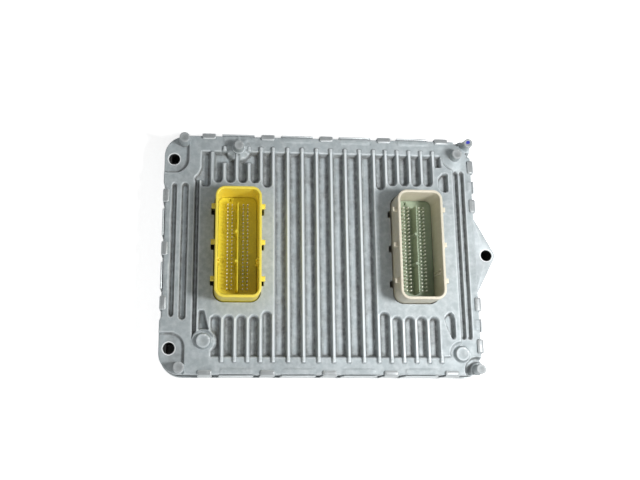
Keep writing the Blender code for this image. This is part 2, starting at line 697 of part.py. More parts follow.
def bar_lands():
    """Low raised lands on the lid's band, inside each bar of the tray."""
    lands = []
    low, high = LID_HEIGHT - LAND_RISE, LID_HEIGHT + LAND_RISE
    outer = SHEET + SEAT_GAP + LID_EDGE_CHAMFER + LAND_EDGE_GAP
    inner = SHEET + SEAT_GAP + LAND_DEPTH
    for edge, tabs, bars in tray_sides():
        for a, b, bar in zip(tabs, tabs[1:], bars):
            if bar:
                middle = (a + b) / 2
                reach = bar / 2 - LAND_END_GAP
                lands.append(edge_box(edge, middle - reach, middle + reach, outer, inner, low, high))
    return lands


def make_lid(cast):
    """The die-cast lid: fins, pads, posts and lugs outside, a cavity with standoffs inside."""
    lid = solids("housing_lid", [[(LID_FOOT, lid_outline()), (LID_HEIGHT - LID_EDGE_CHAMFER, lid_outline()),
                                  (LID_HEIGHT, lid_outline(LID_EDGE_CHAMFER))]], cast)
    join(lid, [prism(deck_outline(), LID_HEIGHT - 1.0 * MM, DECK_TOP)])
    cut(lid, deck_bites())
    join(lid, [second_cone()])
    join(lid, lug_bosses() + [left_boss(1), left_boss(-1)])
    combine(lid, solids("lands", bar_lands()), "UNION")

    sinks = boss_discs(LUG_PAD_RADIUS, LUG_TOP, DECK_TOP + OVERCUT)
    sink_floor = LID_HEIGHT - CORNER_SINK_DEPTH
    sinks += [prism(circle(HALF_X - POST_INSET, side * (HALF_Y - POST_INSET), CORNER_SINK_RADIUS), sink_floor,
                    DECK_TOP + OVERCUT) for side in (1, -1)]
    cut(lid, sinks)
    cut(lid, fin_channels())
    cut(lid, merged_corners())
    cut(lid, side_channels() + corner_pockets())
    cut(lid, [lug_recess()])

    cavity = inner_space("cavity", LID_WALL, LUG_BOSS_RADIUS + LID_WALL, LID_FOOT - OVERCUT, ROOF)
    combine(lid, cavity, "DIFFERENCE")
    join(lid, [fin_post(), left_land()])
    combine(lid, solids("posts", lid_posts()), "UNION")

    inner_root = ROOF + 0.5 * MM
    inside = [prism(circle(x, y, STANDOFF_RADIUS, SMALL_STEPS), ON_BOARD, inner_root)
              for x, y in standoff_places()]
    pedestal_foot = ON_BOARD + CHIP_HEIGHT + SEAT_GAP + THERMAL_PAD + SEAT_GAP
    half = DRIVER_SIZE / 2
    for x, y in driver_places().values():
        inside.append(prism(rectangle(x - half, x + half, y - half, y + half), pedestal_foot, inner_root))
    combine(lid, solids("inside", inside), "UNION")

    holes = boss_discs(MOUNT_HOLE_RADIUS, -OVERCUT, DECK_TOP)
    holes.append(prism(circle(EAR_X, 0.0, MOUNT_HOLE_RADIUS), -OVERCUT, DECK_TOP))
    for x, y in standoff_places():
        holes.append(prism(circle(x, y, SCREW_RADIUS + SEAT_GAP, SMALL_STEPS), ON_BOARD - OVERCUT,
                           ON_BOARD + SCREW_DEPTH + SEAT_GAP))
    for x in (YELLOW_X, GREY_X):
        holes.append(prism(header_outline(x, -HEADER_CLEARANCE), ROOF - OVERCUT, DECK_TOP + OVERCUT))
    cut(lid, holes)
    for x in (YELLOW_X, GREY_X):
        cut(lid, tab_slots(x))
    flatten(lid)
    return lid


def tab_slots(x):
    """Cross slots that let the header's side tabs pass up through the lid."""
    reach = HEADER_WIDTH / 2 + HEADER_TAB_REACH + TAB_SLOT_CLEARANCE
    half = TAB_SLOT_LENGTH / 2
    return [prism(rectangle(x - reach, x + reach, y - half, y + half), ROOF - OVERCUT, DECK_TOP + OVERCUT)
            for y in tab_rows()]


def tab_rows():
    """Middles of the side tabs along a header."""
    return [HEADER_Y + i * HEADER_TAB_PITCH for i in (-1, 0, 1)]


def make_header(name, x, key_y, plastic):
    """A plug header's shroud: collar on the board, open bore, side tabs and keying ribs."""
    collar = header_outline(x, -HEADER_COLLAR)
    outer = header_outline(x)
    rim_chamfer = 0.5 * MM
    body = solids(name, [[(COLLAR_TOP - 1.0 * MM, outer), (HEADER_TOP - rim_chamfer, outer),
                          (HEADER_TOP, header_outline(x, rim_chamfer))]], plastic)
    join(body, [prism(collar, ON_BOARD, COLLAR_TOP)])
    tab_top = HEADER_TOP - HEADER_TAB_DROP
    half = HEADER_TAB_LENGTH / 2
    reach = HEADER_WIDTH / 2 + HEADER_TAB_REACH
    tabs = [prism(rectangle(x - reach, x + reach, y - half, y + half), tab_top - HEADER_TAB_HEIGHT, tab_top)
            for y in tab_rows()]
    combine(body, solids("tabs", tabs), "UNION")
    cut(body, [prism(header_outline(x, HEADER_WALL), ON_BOARD - OVERCUT, HEADER_TOP + OVERCUT)])
    inner = HEADER_WIDTH / 2 - HEADER_WALL
    keys = []
    for side in (1, -1):
        for step in (-0.5, 0.5):
            y = HEADER_Y + key_y + step * KEY_SPACING
            low, high = sorted((x + side * (inner + 0.5 * MM), x + side * (inner - KEY_REACH)))
            keys.append(prism(rectangle(low, high, y - KEY_WIDTH / 2, y + KEY_WIDTH / 2),
                              HEADER_TOP - KEY_DROP - KEY_LENGTH, HEADER_TOP - KEY_DROP))
    combine(body, solids("keys", keys), "UNION")
    flatten(body)
    return body


def make_contacts(name, x, metal):
    """The contact carrier that fills the header's bore, with its square pins and a low spine."""
    inset = HEADER_WALL + SEAT_GAP
    half_w = HEADER_WIDTH / 2 - inset
    half_l = HEADER_LENGTH / 2 - inset
    half_pin = PIN_SIZE / 2
    count = int((2 * half_l - 2 * PIN_FIELD_MARGIN) / PIN_PITCH) + 1
    first = -(count - 1) * PIN_PITCH / 2
    rows = [first + i * PIN_PITCH for i in range(count)]
    x_lines = [-half_w] + sorted([c + s * half_pin for c in PIN_COLUMNS for s in (-1, 1)]
                                 + [s * SPINE_WIDTH / 2 for s in (-1, 1)]) + [half_w]
    y_lines = [-half_l] + [r + s * half_pin for r in rows for s in (-1, 1)] + [half_l]
    mesh = bmesh.new()
    grid = [[mesh.verts.new((x + gx, HEADER_Y + gy, SOCKET_FLOOR)) for gx in x_lines] for gy in y_lines]
    cells = {}
    for j in range(len(y_lines) - 1):
        for i in range(len(x_lines) - 1):
            cells[i, j] = mesh.faces.new((grid[j][i], grid[j][i + 1], grid[j + 1][i + 1], grid[j + 1][i]))
    rim = [e for e in mesh.edges if e.is_boundary]
    walls = bmesh.ops.extrude_edge_only(mesh, edges=rim)["geom"]
    foot = [v for v in walls if isinstance(v, bmesh.types.BMVert)]
    for vert in foot:
        vert.co.z = ON_BOARD
    bottom = [e for e in walls if isinstance(e, bmesh.types.BMEdge) and e.is_boundary]
    bmesh.ops.contextual_create(mesh, geom=bottom)

    def is_pin(i, j):
        mid = (x_lines[i] + x_lines[i + 1]) / 2
        return j % 2 == 1 and any(abs(mid - c) < half_pin for c in PIN_COLUMNS)

    pins = [face for (i, j), face in cells.items() if is_pin(i, j)]
    for face in pins:
        raised = bmesh.ops.extrude_discrete_faces(mesh, faces=[face])["faces"][0]
        middle = raised.calc_center_median()
        for vert in raised.verts:
            vert.co.x = middle.x + (vert.co.x - middle.x) * PIN_TIP_SHARE
            vert.co.y = middle.y + (vert.co.y - middle.y) * PIN_TIP_SHARE
            vert.co.z = SOCKET_FLOOR + PIN_HEIGHT
    spine = [face for (i, j), face in cells.items()
             if abs((x_lines[i] + x_lines[i + 1]) / 2) < SPINE_WIDTH / 2 and 0 < j < len(y_lines) - 2]
    lifted = bmesh.ops.extrude_face_region(mesh, geom=spine)["geom"]
    for part in lifted:
        if isinstance(part, bmesh.types.BMVert):
            part.co.z = SOCKET_FLOOR + SPINE_HEIGHT
    bmesh.ops.delete(mesh, geom=spine, context="FACES")
    carrier = finish(name, mesh, metal)
    round_corners(carrier, x, inset)
    return carrier


def round_corners(carrier, x, inset):
    """Trim the carrier's corners to the header's bore."""
    trim = solids("trim", [prism(header_outline(x, inset), ON_BOARD - OVERCUT, HEADER_TOP)])
    combine(carrier, trim, "INTERSECT")
    flatten(carrier)


def make_header_seal(name, x, rubber):
    """The gasket between a header's collar and the roof of the lid."""
    low = COLLAR_TOP + SEAT_GAP
    high = ROOF - SEAT_GAP
    seal = solids(name, [prism(header_outline(x, -HEADER_COLLAR + SEAL_MARGIN), low, high)], rubber)
    cut(seal, [prism(header_outline(x, -SEAT_GAP), low - OVERCUT, high + OVERCUT)])
    return seal


def crenel(edge, a, b, bar):
    """What is cut from the tray's wall between two crimp tabs: it leaves a bar standing, if there is one."""
    top = LID_HEIGHT + SEAT_GAP + SHEET + OVERCUT
    start, stop = a + TAB_WIDTH / 2, b - TAB_WIDTH / 2
    middle = (a + b) / 2
    bar_top = LID_HEIGHT - BAR_DROP
    profile = [(start, top), (start, TRAY_RIM)]
    if bar:
        profile += [(middle - bar / 2, TRAY_RIM), (middle - bar / 2, bar_top)]
        profile += [(middle + bar / 2, bar_top), (middle + bar / 2, TRAY_RIM)]
    profile += [(stop, TRAY_RIM), (stop, top)]
    near, far = -OVERCUT, TAB_REACH + OVERCUT
    mesh = bmesh.new()
    rings = []
    for reach in (near, far):
        ring = []
        for u, z in profile:
            x, y = {
                "top": (u, TRAY_Y - reach),
                "bottom": (u, -TRAY_Y + reach),
                "left": (-TRAY_X + reach, u),
                "right": (TRAY_X - reach, u),
            }[edge]
            ring.append(mesh.verts.new((x, y, z)))
        rings.append(ring)
    count = len(profile)
    for i in range(count):
        j = (i + 1) % count
        mesh.faces.new((rings[0][i], rings[0][j], rings[1][j], rings[1][i]))
    mesh.faces.new(rings[0])
    mesh.faces.new(rings[1][::-1])
    return finish("crenel", mesh)


def make_tray(sheet_metal):
    """The pressed tray: a floor, a low rim, standing bars, and crimp tabs folded over the lid's band."""
    fold_top = LID_HEIGHT + SEAT_GAP + SHEET
    fold = 0.6 * SHEET
    grow = SEAT_GAP + SHEET
    tray = solids("base_tray", [[(0.0, lid_outline(-grow + 0.4 * MM)), (0.4 * MM, lid_outline(-grow)),
                                 (fold_top - fold, lid_outline(-grow)),
                                 (fold_top, lid_outline(-grow + fold))]], sheet_metal)
    cut(tray, [prism(lid_outline(-SEAT_GAP), SHEET, LID_HEIGHT + SEAT_GAP)])
    cut(tray, [prism(lid_outline(TAB_REACH - grow), LID_HEIGHT, fold_top + OVERCUT)])
    for edge, tabs, bars in tray_sides():
        for a, b, bar in zip(tabs, tabs[1:], bars):
            combine(tray, crenel(edge, a, b, bar), "DIFFERENCE")
    long_start, long_stop = long_tabs()[0] - TAB_WIDTH / 2, long_tabs()[-1] + TAB_WIDTH / 2
    left_stop = max(abs(y) for y in left_tabs()) + TAB_WIDTH / 2
    right_stop = RIGHT_TAB_OUTER + TAB_WIDTH / 2
    far_x, far_y = TRAY_X + OVERCUT, TRAY_Y + OVERCUT
    corners = [
        rectangle(-far_x, long_start, left_stop, far_y),
        rectangle(-far_x, long_start, -far_y, -left_stop),
        rectangle(long_stop, far_x, right_stop, far_y),
        rectangle(long_stop, far_x, -far_y, -right_stop),
    ]
    cut(tray, [prism(corner, TRAY_RIM, fold_top + OVERCUT) for corner in corners])
    notch = LUG_BOSS_RADIUS + BOSS_CLEARANCE
    for side in (1, -1):
        y = side * LUG_Y
        open_side = arc(LUG_X, y, notch, -90.0, 90.0, 2 * QUARTER_STEPS)
        open_side += [(-far_x, y + notch), (-far_x, y - notch)]
        cut(tray, [prism(open_side, -OVERCUT, fold_top + OVERCUT)])
    flatten(tray)
    return tray


def make_housing_seal(rubber):
    """The bead between the lid's foot and the tray, led round the inside of the corner bosses."""
    low = SHEET + SEAT_GAP
    high = low + SEAL_THICKNESS
    seal = solids("housing_seal", [prism(lid_outline(SEAL_MARGIN), low, high)], rubber)
    cut(seal, boss_discs(LUG_BOSS_RADIUS + BOSS_CLEARANCE + SEAL_MARGIN, low - OVERCUT, high + OVERCUT))
    hollow = inner_space("hollow", LID_WALL - SEAL_MARGIN, LUG_BOSS_RADIUS + LID_WALL - SEAL_MARGIN,
                         low - OVERCUT, high + OVERCUT)
    combine(seal, hollow, "DIFFERENCE")
    return seal


def make_board(laminate):
    """The circuit board, cut round the corner bosses and drilled for its screws."""
    low = BOARD_TOP - BOARD_THICKNESS
    edge = LID_WALL + BOARD_CLEARANCE
    board = inner_space("circuit_board", edge, LUG_BOSS_RADIUS + edge, low, BOARD_TOP)
    board.data.materials.append(laminate)
    cut(board, [prism(circle(x, y, SCREW_RADIUS + SEAT_GAP, SMALL_STEPS), low - OVERCUT, BOARD_TOP + OVERCUT)
                for x, y in standoff_places()])
    return board


def make_screw(name, x, y, steel):
    """A board screw, driven up through the board into a standoff."""
    head_top = BOARD_TOP - BOARD_THICKNESS - SEAT_GAP
    head_low = head_top - SCREW_HEAD_HEIGHT
    tip = ON_BOARD + SCREW_DEPTH
    profile = ((head_low, SCREW_HEAD_RADIUS * 0.8), (head_low + 0.5 * SCREW_HEAD_HEIGHT, SCREW_HEAD_RADIUS),
               (head_top, SCREW_HEAD_RADIUS), (head_top + 0.02 * MM, SCREW_RADIUS),
               (tip - SCREW_RADIUS, SCREW_RADIUS), (tip, SCREW_RADIUS * 0.4))
    return solids(name, [[(z, circle(x, y, radius, SMALL_STEPS)) for z, radius in profile]], steel)


def make_chip(name, x, y, size_x, size_y, height, finish_material):
    """A moulded chip with sloping sides, seated on the board."""
    draw_in = min(0.15 * height, 0.4 * MM)
    hx, hy = size_x / 2, size_y / 2
    drawn = rectangle(x - hx + draw_in, x + hx - draw_in, y - hy + draw_in, y + hy - draw_in)
    return solids(name, [[(ON_BOARD, drawn), (ON_BOARD + height / 2, rectangle(x - hx, x + hx, y - hy, y + hy)),
                          (ON_BOARD + height, drawn)]], finish_material)


def make_can(name, x, y, base_material):
    """An electrolytic capacitor: a square foot and a round can with a rolled groove."""
    foot = 0.8 * MM
    can = solids(name, [prism(cut_corners(x, y, CAN_RADIUS, foot), ON_BOARD, ON_BOARD + foot)], base_material)
    profile = ((0.5 * foot, 0.97), (foot + 0.6 * MM, 0.97), (foot + 0.9 * MM, 0.88), (foot + 1.2 * MM, 0.97),
               (CAN_HEIGHT - 0.3 * MM, 0.97), (CAN_HEIGHT, 0.85))
    join(can, [[(ON_BOARD + rise, circle(x, y, CAN_RADIUS * share, SMALL_STEPS)) for rise, share in profile]])
    return can


def make_inductor(name, x, y, ferrite):
    """A moulded power inductor with cut corners."""
    half = INDUCTOR_SIZE / 2
    bevel = 0.4 * MM
    outline = cut_corners(x, y, half, 0.2 * INDUCTOR_SIZE)
    return solids(name, [[(ON_BOARD, outline), (ON_BOARD + INDUCTOR_HEIGHT - bevel, outline),
                          (ON_BOARD + INDUCTOR_HEIGHT, cut_corners(x, y, half - bevel, 0.2 * INDUCTOR_SIZE))]],
                  ferrite)


def make_electronics(black, ferrite, aluminium, steel, pad_material):
    """Everything that stands on the board under the lid."""
    make_chip("microcontroller", 0.0, HEADER_Y + 8.0 * MM, CONTROLLER_SIZE, CONTROLLER_SIZE, CHIP_HEIGHT, black)
    make_chip("memory_chip", 0.0, HEADER_Y - 16.0 * MM, 14.0 * MM, 9.0 * MM, 1.4 * MM, black)
    make_chip("bus_transceiver", 13.5 * MM, HEADER_Y - 16.0 * MM, 6.0 * MM, 5.0 * MM, 1.5 * MM, black)
    make_chip("clock_crystal", -13.0 * MM, HEADER_Y - 16.0 * MM, CRYSTAL_WIDTH, CRYSTAL_LENGTH,
              CRYSTAL_HEIGHT, steel)
    half = DRIVER_SIZE / 2
    for name, (x, y) in driver_places().items():
        make_chip(name, x, y, DRIVER_SIZE, DRIVER_SIZE, CHIP_HEIGHT, black)
        low = ON_BOARD + CHIP_HEIGHT + SEAT_GAP
        solids(name + "_thermal_pad", [prism(rectangle(x - half, x + half, y - half, y + half), low,
                                             low + THERMAL_PAD)], pad_material)
    row_top = HEADER_Y + HEADER_LENGTH / 2 + HEADER_COLLAR + ROW_CLEARANCE + TRANSISTOR_SIZE / 2
    row_bottom = HEADER_Y - HEADER_LENGTH / 2 - HEADER_COLLAR - ROW_CLEARANCE - TRANSISTOR_SIZE / 2
    spacing = TRANSISTOR_SIZE + 2.5 * MM
    for i in range(3):
        shift = (i - 1) * spacing
        make_chip(f"power_transistor_{i + 1}", GREY_X + shift, row_top, TRANSISTOR_SIZE, TRANSISTOR_SIZE,
                  TRANSISTOR_HEIGHT, black)
        make_can(f"smoothing_capacitor_{i + 1}", YELLOW_X + shift, row_top, aluminium)
        make_can(f"smoothing_capacitor_{i + 4}", GREY_X + shift, row_bottom, aluminium)
    for i in range(2):
        make_inductor(f"supply_inductor_{i + 1}", YELLOW_X + (i - 0.5) * (INDUCTOR_SIZE + 4.0 * MM),
                      row_bottom, ferrite)
    for number, (x, y) in enumerate(standoff_places(), 1):
        make_screw(f"board_screw_{number}", x, y, steel)


def main():
    """Build every piece of the control unit."""
    clear_scene()
    cast = material("cast_aluminium", (0.56, 0.60, 0.62), 0.45, 0.85)
    sheet_metal = material("pressed_aluminium", (0.60, 0.62, 0.63), 0.35, 0.9)
    yellow = material("yellow_plastic", (0.85, 0.68, 0.12), 0.45)
    grey = material("grey_plastic", (0.62, 0.58, 0.48), 0.5)
    yellow_contacts = material("yellow_contact_field", (0.62, 0.55, 0.12), 0.45)
    grey_contacts = material("grey_contact_field", (0.36, 0.42, 0.32), 0.5)
    rubber = material("silicone_rubber", (0.06, 0.06, 0.065), 0.7)
    laminate = material("board_laminate", (0.04, 0.22, 0.09), 0.45)
    black = material("black_epoxy", (0.02, 0.02, 0.022), 0.5)
    ferrite = material("dark_ferrite", (0.08, 0.08, 0.085), 0.6)
    aluminium = material("bright_can", (0.75, 0.76, 0.77), 0.3, 0.9)
    steel = material("zinc_plated_steel", (0.62, 0.62, 0.6), 0.35, 0.9)
    pad_material = material("thermal_silicone", (0.45, 0.5, 0.56), 0.8)

    make_lid(cast)
    make_tray(sheet_metal)
    make_housing_seal(rubber)
    make_header("yellow_header", YELLOW_X, YELLOW_KEY_Y, yellow)
    make_header("grey_header", GREY_X, GREY_KEY_Y, grey)
    make_contacts("yellow_contacts", YELLOW_X, yellow_contacts)
    make_contacts("grey_contacts", GREY_X, grey_contacts)
    make_header_seal("yellow_header_seal", YELLOW_X, rubber)
    make_header_seal("grey_header_seal", GREY_X, rubber)
    make_board(laminate)
    make_electronics(black, ferrite, aluminium, steel, pad_material)


if __name__ == "__main__":
    main()
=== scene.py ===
"""Engine control unit, dressed: cast lid, crimped tray, plug headers and their pin fields.

The frame's solids give the places. Each outer piece is made again here as a surface worked out with
numpy, with the soft edges of a casting, a pressing or a moulding, and replaces its solid. The pieces
inside the housing keep their solids and get a finish. Lengths are in metres, +Z towards the headers.
"""
import json
import math

import bmesh
import bpy
import numpy as np
from mathutils import Matrix, Vector


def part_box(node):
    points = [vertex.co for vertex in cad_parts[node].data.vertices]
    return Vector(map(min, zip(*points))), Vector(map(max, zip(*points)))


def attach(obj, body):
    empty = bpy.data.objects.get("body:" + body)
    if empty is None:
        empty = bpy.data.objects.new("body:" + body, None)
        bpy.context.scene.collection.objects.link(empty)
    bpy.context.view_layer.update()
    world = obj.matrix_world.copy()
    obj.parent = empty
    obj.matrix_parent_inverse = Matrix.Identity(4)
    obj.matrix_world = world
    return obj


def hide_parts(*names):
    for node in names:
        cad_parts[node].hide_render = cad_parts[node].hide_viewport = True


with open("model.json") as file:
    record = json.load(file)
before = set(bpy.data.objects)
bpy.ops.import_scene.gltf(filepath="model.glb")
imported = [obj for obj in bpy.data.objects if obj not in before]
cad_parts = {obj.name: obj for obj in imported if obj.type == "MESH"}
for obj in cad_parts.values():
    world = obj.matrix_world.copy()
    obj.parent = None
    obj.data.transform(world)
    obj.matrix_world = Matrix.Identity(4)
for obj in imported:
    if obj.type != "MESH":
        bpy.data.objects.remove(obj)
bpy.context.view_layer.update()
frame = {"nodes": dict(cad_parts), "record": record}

bl_info = {
    "name": "Engine control unit",
    "version": (1, 0, 0),
    "blender": (4, 5, 0),
    "location": "3D View > Sidebar > Control unit",
    "description": "Dresses the solids of a sealed engine control unit",
    "category": "Object",
}

MM = 0.001
TRAY_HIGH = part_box("base_tray")[1]
LID_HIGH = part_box("housing_lid")[1]
HEADERS = {"yellow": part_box("yellow_header"), "grey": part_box("grey_header")}
CONTACTS = {"yellow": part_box("yellow_contacts"), "grey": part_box("grey_contacts")}
YELLOW_X = (HEADERS["yellow"][0].x + HEADERS["yellow"][1].x) / 2
GREY_X = (HEADERS["grey"][0].x + HEADERS["grey"][1].x) / 2
HEADER_Y = (HEADERS["yellow"][0].y + HEADERS["yellow"][1].y) / 2
HEADER_TOP = HEADERS["yellow"][1].z

# Places and sizes of single features of the casting, read from the photograph
GROUP_RIBS = 6                          # ribs in the group beside each header
FIN_POST = (1.0 * MM, 8.0 * MM)         # right of the third rib, in from the far side
SECOND_POST = (10.8 * MM, 10.6 * MM)    # in from the right and far sides
BIG_LEFT_POST = (24.9 * MM, 19.3 * MM)  # in from the left and near sides
BIG_RIGHT_POST = 12.4 * MM              # in from the right and near sides
CORNER_POSTS = 3.2 * MM                 # in from the right side and from both long ones
LEFT_POSTS = (11.1 * MM, 3.8 * MM)      # in from the left side and from both long ones
POST_DISH = 0.12 * MM                   # how far a post's top is dished inside its rim
BITES = (6.7 * MM, 7.4 * MM, 8.9 * MM)  # round the near left, near right and second post, out of the deck
MOAT = 6.9 * MM                         # radius round the near left post that no channel enters
FIN_CONE = (7.6 * MM, 2.2 * MM, 4.3 * MM)      # foot's radius, rise and run of the post among the fins
SECOND_CONE = (8.4 * MM, 1.8 * MM, 4.7 * MM)   # the same for the post near the far right corner
FLUTES, FLUTE_DEPTH = 9.0, 0.4 * MM
PAD_RIGHT = 26.25 * MM                  # from the right header's middle to the end of its pad
LONG_REACH = 2.6 * MM                   # how much further the outermost channels run beside a pad
SQUARE_END = 0.5 * MM                   # corner radius at the square end of a channel
ROOM = (7.8 * MM, 0.8 * MM)             # length and corner radius of the rooms beside the post among the fins
SHORT_CHANNEL = (4.4 * MM, 8.0 * MM)    # width and length of the last channel at the far right
PAST = 20.0 * MM                        # well outside the lid
SEAT = (9.4 * MM, 9.0 * MM)             # reach from a lug hole, and corner radius, of its sunk seat
CRESCENT = (7.6 * MM, 4.7 * MM)         # radii of the sunk ground round a right corner post and of its land
CRESCENT_SHIFT = 0.9 * MM               # from the post to the middle of that land, along X and Y
CRESCENT_DROP = 4.0 * MM
LAND = (0.8 * MM, 3.0 * MM)             # outer and inner side of the low lands, in from the lid's side
LAND_RISE = 0.4 * MM
OPENING_GAP = 0.6 * MM                  # round a header, between it and the lid
OPENING_CORNER = 6.4 * MM
SLOT_REACH, SLOT_HALF = 1.8 * MM, 2.15 * MM    # a cross slot past the opening, and half its width
LUG_CLEAR = 17.9 * MM                   # radius round the far left lug that the recess keeps clear of
EAR_TIP = 5.4 * MM                      # radius of the ear's end
EAR_HALF_SPAN = 25.0 * MM               # half of its width at the lid
EAR_DEPTH = 9.5 * MM
BOSS = 6.2 * MM                         # radius of the bosses below the lugs
BULGE_START = 34.5 * MM                 # from a long side to where the bulge round its lug begins
BULGE_RUN = 4.0 * MM                    # length over which the bulge grows

# Channels along the short sides, in mm: middle in from the side, width, then the far and the near end in
# from the long sides
LEFT_CHANNELS = ((5.4, 3.2, 31.2, 33.5), (12.0, 4.4, 30.8, 31.8), (19.3, 2.8, 26.0, 19.5))
RIGHT_CHANNELS = ((10.3, 3.1, 19.8, 21.1), (6.5, 3.1, 19.8, 21.1))

# Corners of the shaped pockets, clockwise: offset along X in mm, share of the pocket's length
SLANT_POCKET = ((0.1, 0.92), (0.6, 1.0), (3.3, 1.0), (4.0, 0.9), (6.3, 0.16), (6.3, 0.1), (2.9, 0.0),
                (0.1, 0.0))
FAR_POCKET = ((0.1, 0.72), (2.8, 0.97), (5.4, 0.99), (6.25, 0.88), (6.25, 0.1), (4.6, 0.0), (1.9, 0.05),
              (0.0, 0.26))
NEAR_POCKET = ((0.1, 0.78), (2.8, 0.97), (4.3, 1.0), (6.1, 0.88), (6.85, 0.64), (6.85, 0.12), (5.9, 0.0),
               (4.6, 0.0), (1.4, 0.45))

# Along each side of the tray: places of tabs and bars, and a bar's half length, in mm
LONG_MIDDLE, LONG_PITCH, LONG_BAR = 3.6, 37.0, 10.25
LEFT_MIDDLE, LEFT_PITCH, LEFT_BAR = 1.2, 33.0, 8.5
RIGHT_TABS, RIGHT_BARS, RIGHT_BAR = (-56.4, -31.0, 31.0, 56.4), (-43.7, 43.7), 4.0

# Grid of the lid's top: where its spans meet, their widest steps, and the lines across a slope
GRID_X, GRID_STEPS_X = (-84.0 * MM, -66.0 * MM, 73.0 * MM), (0.45 * MM, 0.72 * MM, 1.7 * MM, 0.72 * MM)
GRID_Y, GRID_STEPS_Y = (-25.0 * MM, 30.0 * MM), (0.62 * MM, 2.4 * MM, 0.62 * MM)
GRID_NEAREST = 0.2 * MM
SLOPE_LINES = (-0.2, 0.15, 0.5, 0.85, 1.2)

HAIR = 0.0001 * MM                      # keeps a turned profile off its axis
TINY = 1e-9                             # keeps a divisor above zero
TAB_ROUND = 1.1 * MM                    # radius at the tip of a crimp tab
NOTCH = 6.9 * MM                        # radius cut from the tray's pan round each corner boss
KEY_LAMP = ((0.215, -0.065, 0.36), 0.08)       # place and size
FILL_LAMP = ((-0.05, -0.55, 0.40), 0.4)

# Plug headers and pin fields
COLLAR_HEIGHT = 3.7 * MM
KEYING_STEP = 1.1 * MM                  # from the middle of a pair of keying ribs to each of them
KEYING_RIB = (0.8 * MM, 0.5 * MM)       # half sizes of a keying rib
KEYING_SPAN = (17.0 * MM, 4.5 * MM)     # from the rim down to its foot and to its top
SPINE_HALF = 0.34 * MM
SPINE_ENDS = (3.2 * MM, 5.4 * MM)       # in from the carrier's near and far end
SPINE_BUMPS = (8.0 * MM, 10.1 * MM)     # beyond and before the carrier's middle
PIN_COLUMNS = (-6.1, -3.4, 3.4, 6.1)    # in mm from the header's middle
PIN_ROWS = 24


def length(name, description, millimetres):
    """A length property, its default given in millimetres."""
    return bpy.props.FloatProperty(name=name, description=description, default=millimetres * MM,
                                   unit="LENGTH")


def colour(name, description, value):
    """A colour property."""
    return bpy.props.FloatVectorProperty(name=name, description=description, default=value, subtype="COLOR",
                                         size=3, min=0.0, max=1.0)


def vector(name, description, value, subtype):
    """A place or a direction."""
    return bpy.props.FloatVectorProperty(name=name, description=description, default=value, size=3,
                                         subtype=subtype)


def share(name, description, value):
    """A plain factor."""
    return bpy.props.FloatProperty(name=name, description=description, default=value, subtype="FACTOR")


class LidSizes(bpy.types.PropertyGroup):
    """Sizes of the cast lid."""

    wall_gap: length("Wall gap", "From the tray's outer face to the lid's side", 1.5)
    band: length("Band height", "Height of the flat band round the lid", 22.0)
    deck_rise: length("Deck rise", "How far the ribs stand above the band", 1.5)
    channel_depth: length("Channel depth", "Depth of the channels below the band", 3.5)
    foot: length("Foot height", "Height of the lid's foot above the mounting plane", 2.8)
    flange: length("Flange height", "Underside of what stands out round the lugs", 9.0)
    roof: length("Roof height", "Height of the cavity's roof", 16.1)
    wall: length("Wall", "Thickness of the side walls", 3.0)
    corner_left: length("Left corners", "Radius of the two corners with lugs", 12.6)
    corner_right: length("Right corners", "Radius of the two corners beside the ear", 5.6)
    lug_bulge: length("Lug bulge", "How far the left side stands out round its two lugs", 1.35)
    edge_round: length("Edge rounding", "Radius of the outer top edge", 0.7)
    opening_round: length("Opening rounding", "Radius round the header openings", 0.35)
    hole_round: length("Hole rounding", "Radius round the mounting holes", 0.4)
    rib_width: length("Rib width", "Width of a rib's flat top", 1.6)
    draft: length("Draft", "How far a channel's side leans in from top to floor", 1.3)
    group_pitch: length("Group pitch", "Distance between the ribs beside a header", 7.62)
    centre_pitch: length("Centre pitch", "Distance between the ribs in the middle", 9.15)
    left_shift: length("Left group shift", "From the left header's middle to its rib group's", 2.9)
    right_shift: length("Right group shift", "From the right header's middle to its rib group's", -4.8)
    channel_end: length("Channel end", "Where the channels stop, from the middle", 63.5)
    rib_end: length("Rib end", "Where the ribs stop, from the middle", 66.3)
    pad_top: length("Pad top", "Far end of the pads round the headers", 42.75)
    pad_bottom: length("Pad bottom", "Near end of the pads round the headers", -38.75)
    hole_radius: length("Mounting hole radius", "Clearance hole for an M6 bolt", 3.4)
    lug_x: length("Lug inset X", "From the left side to a lug hole", 4.7)
    lug_y: length("Lug inset Y", "From a long side to a lug hole", 15.1)
    lug_drop: length("Lug drop", "How far the lug seats lie below the band", 2.5)
    post_top: length("Post top", "Height of the ejector posts above the band", 8.0)
    softness: share("Corner softness", "How much of a slope's width its two corners are rounded over", 0.25)


class TraySizes(bpy.types.PropertyGroup):
    """Sizes of the pressed tray."""

    sheet: length("Sheet", "Thickness of the sheet", 1.2)
    gap: length("Gap", "Between the sheet and the lid", 0.3)
    rim: length("Rim", "Height of the low rim", 6.0)
    bend: length("Bend", "Radius of the folds at the sheet's middle", 1.1)
    tab_width: length("Tab width", "Width of a crimp tab", 8.5)
    tab_reach: length("Tab reach", "How far a crimp tab folds over the band", 4.0)
    bar_drop: length("Bar drop", "How far the standing bars stay below the band", 0.8)


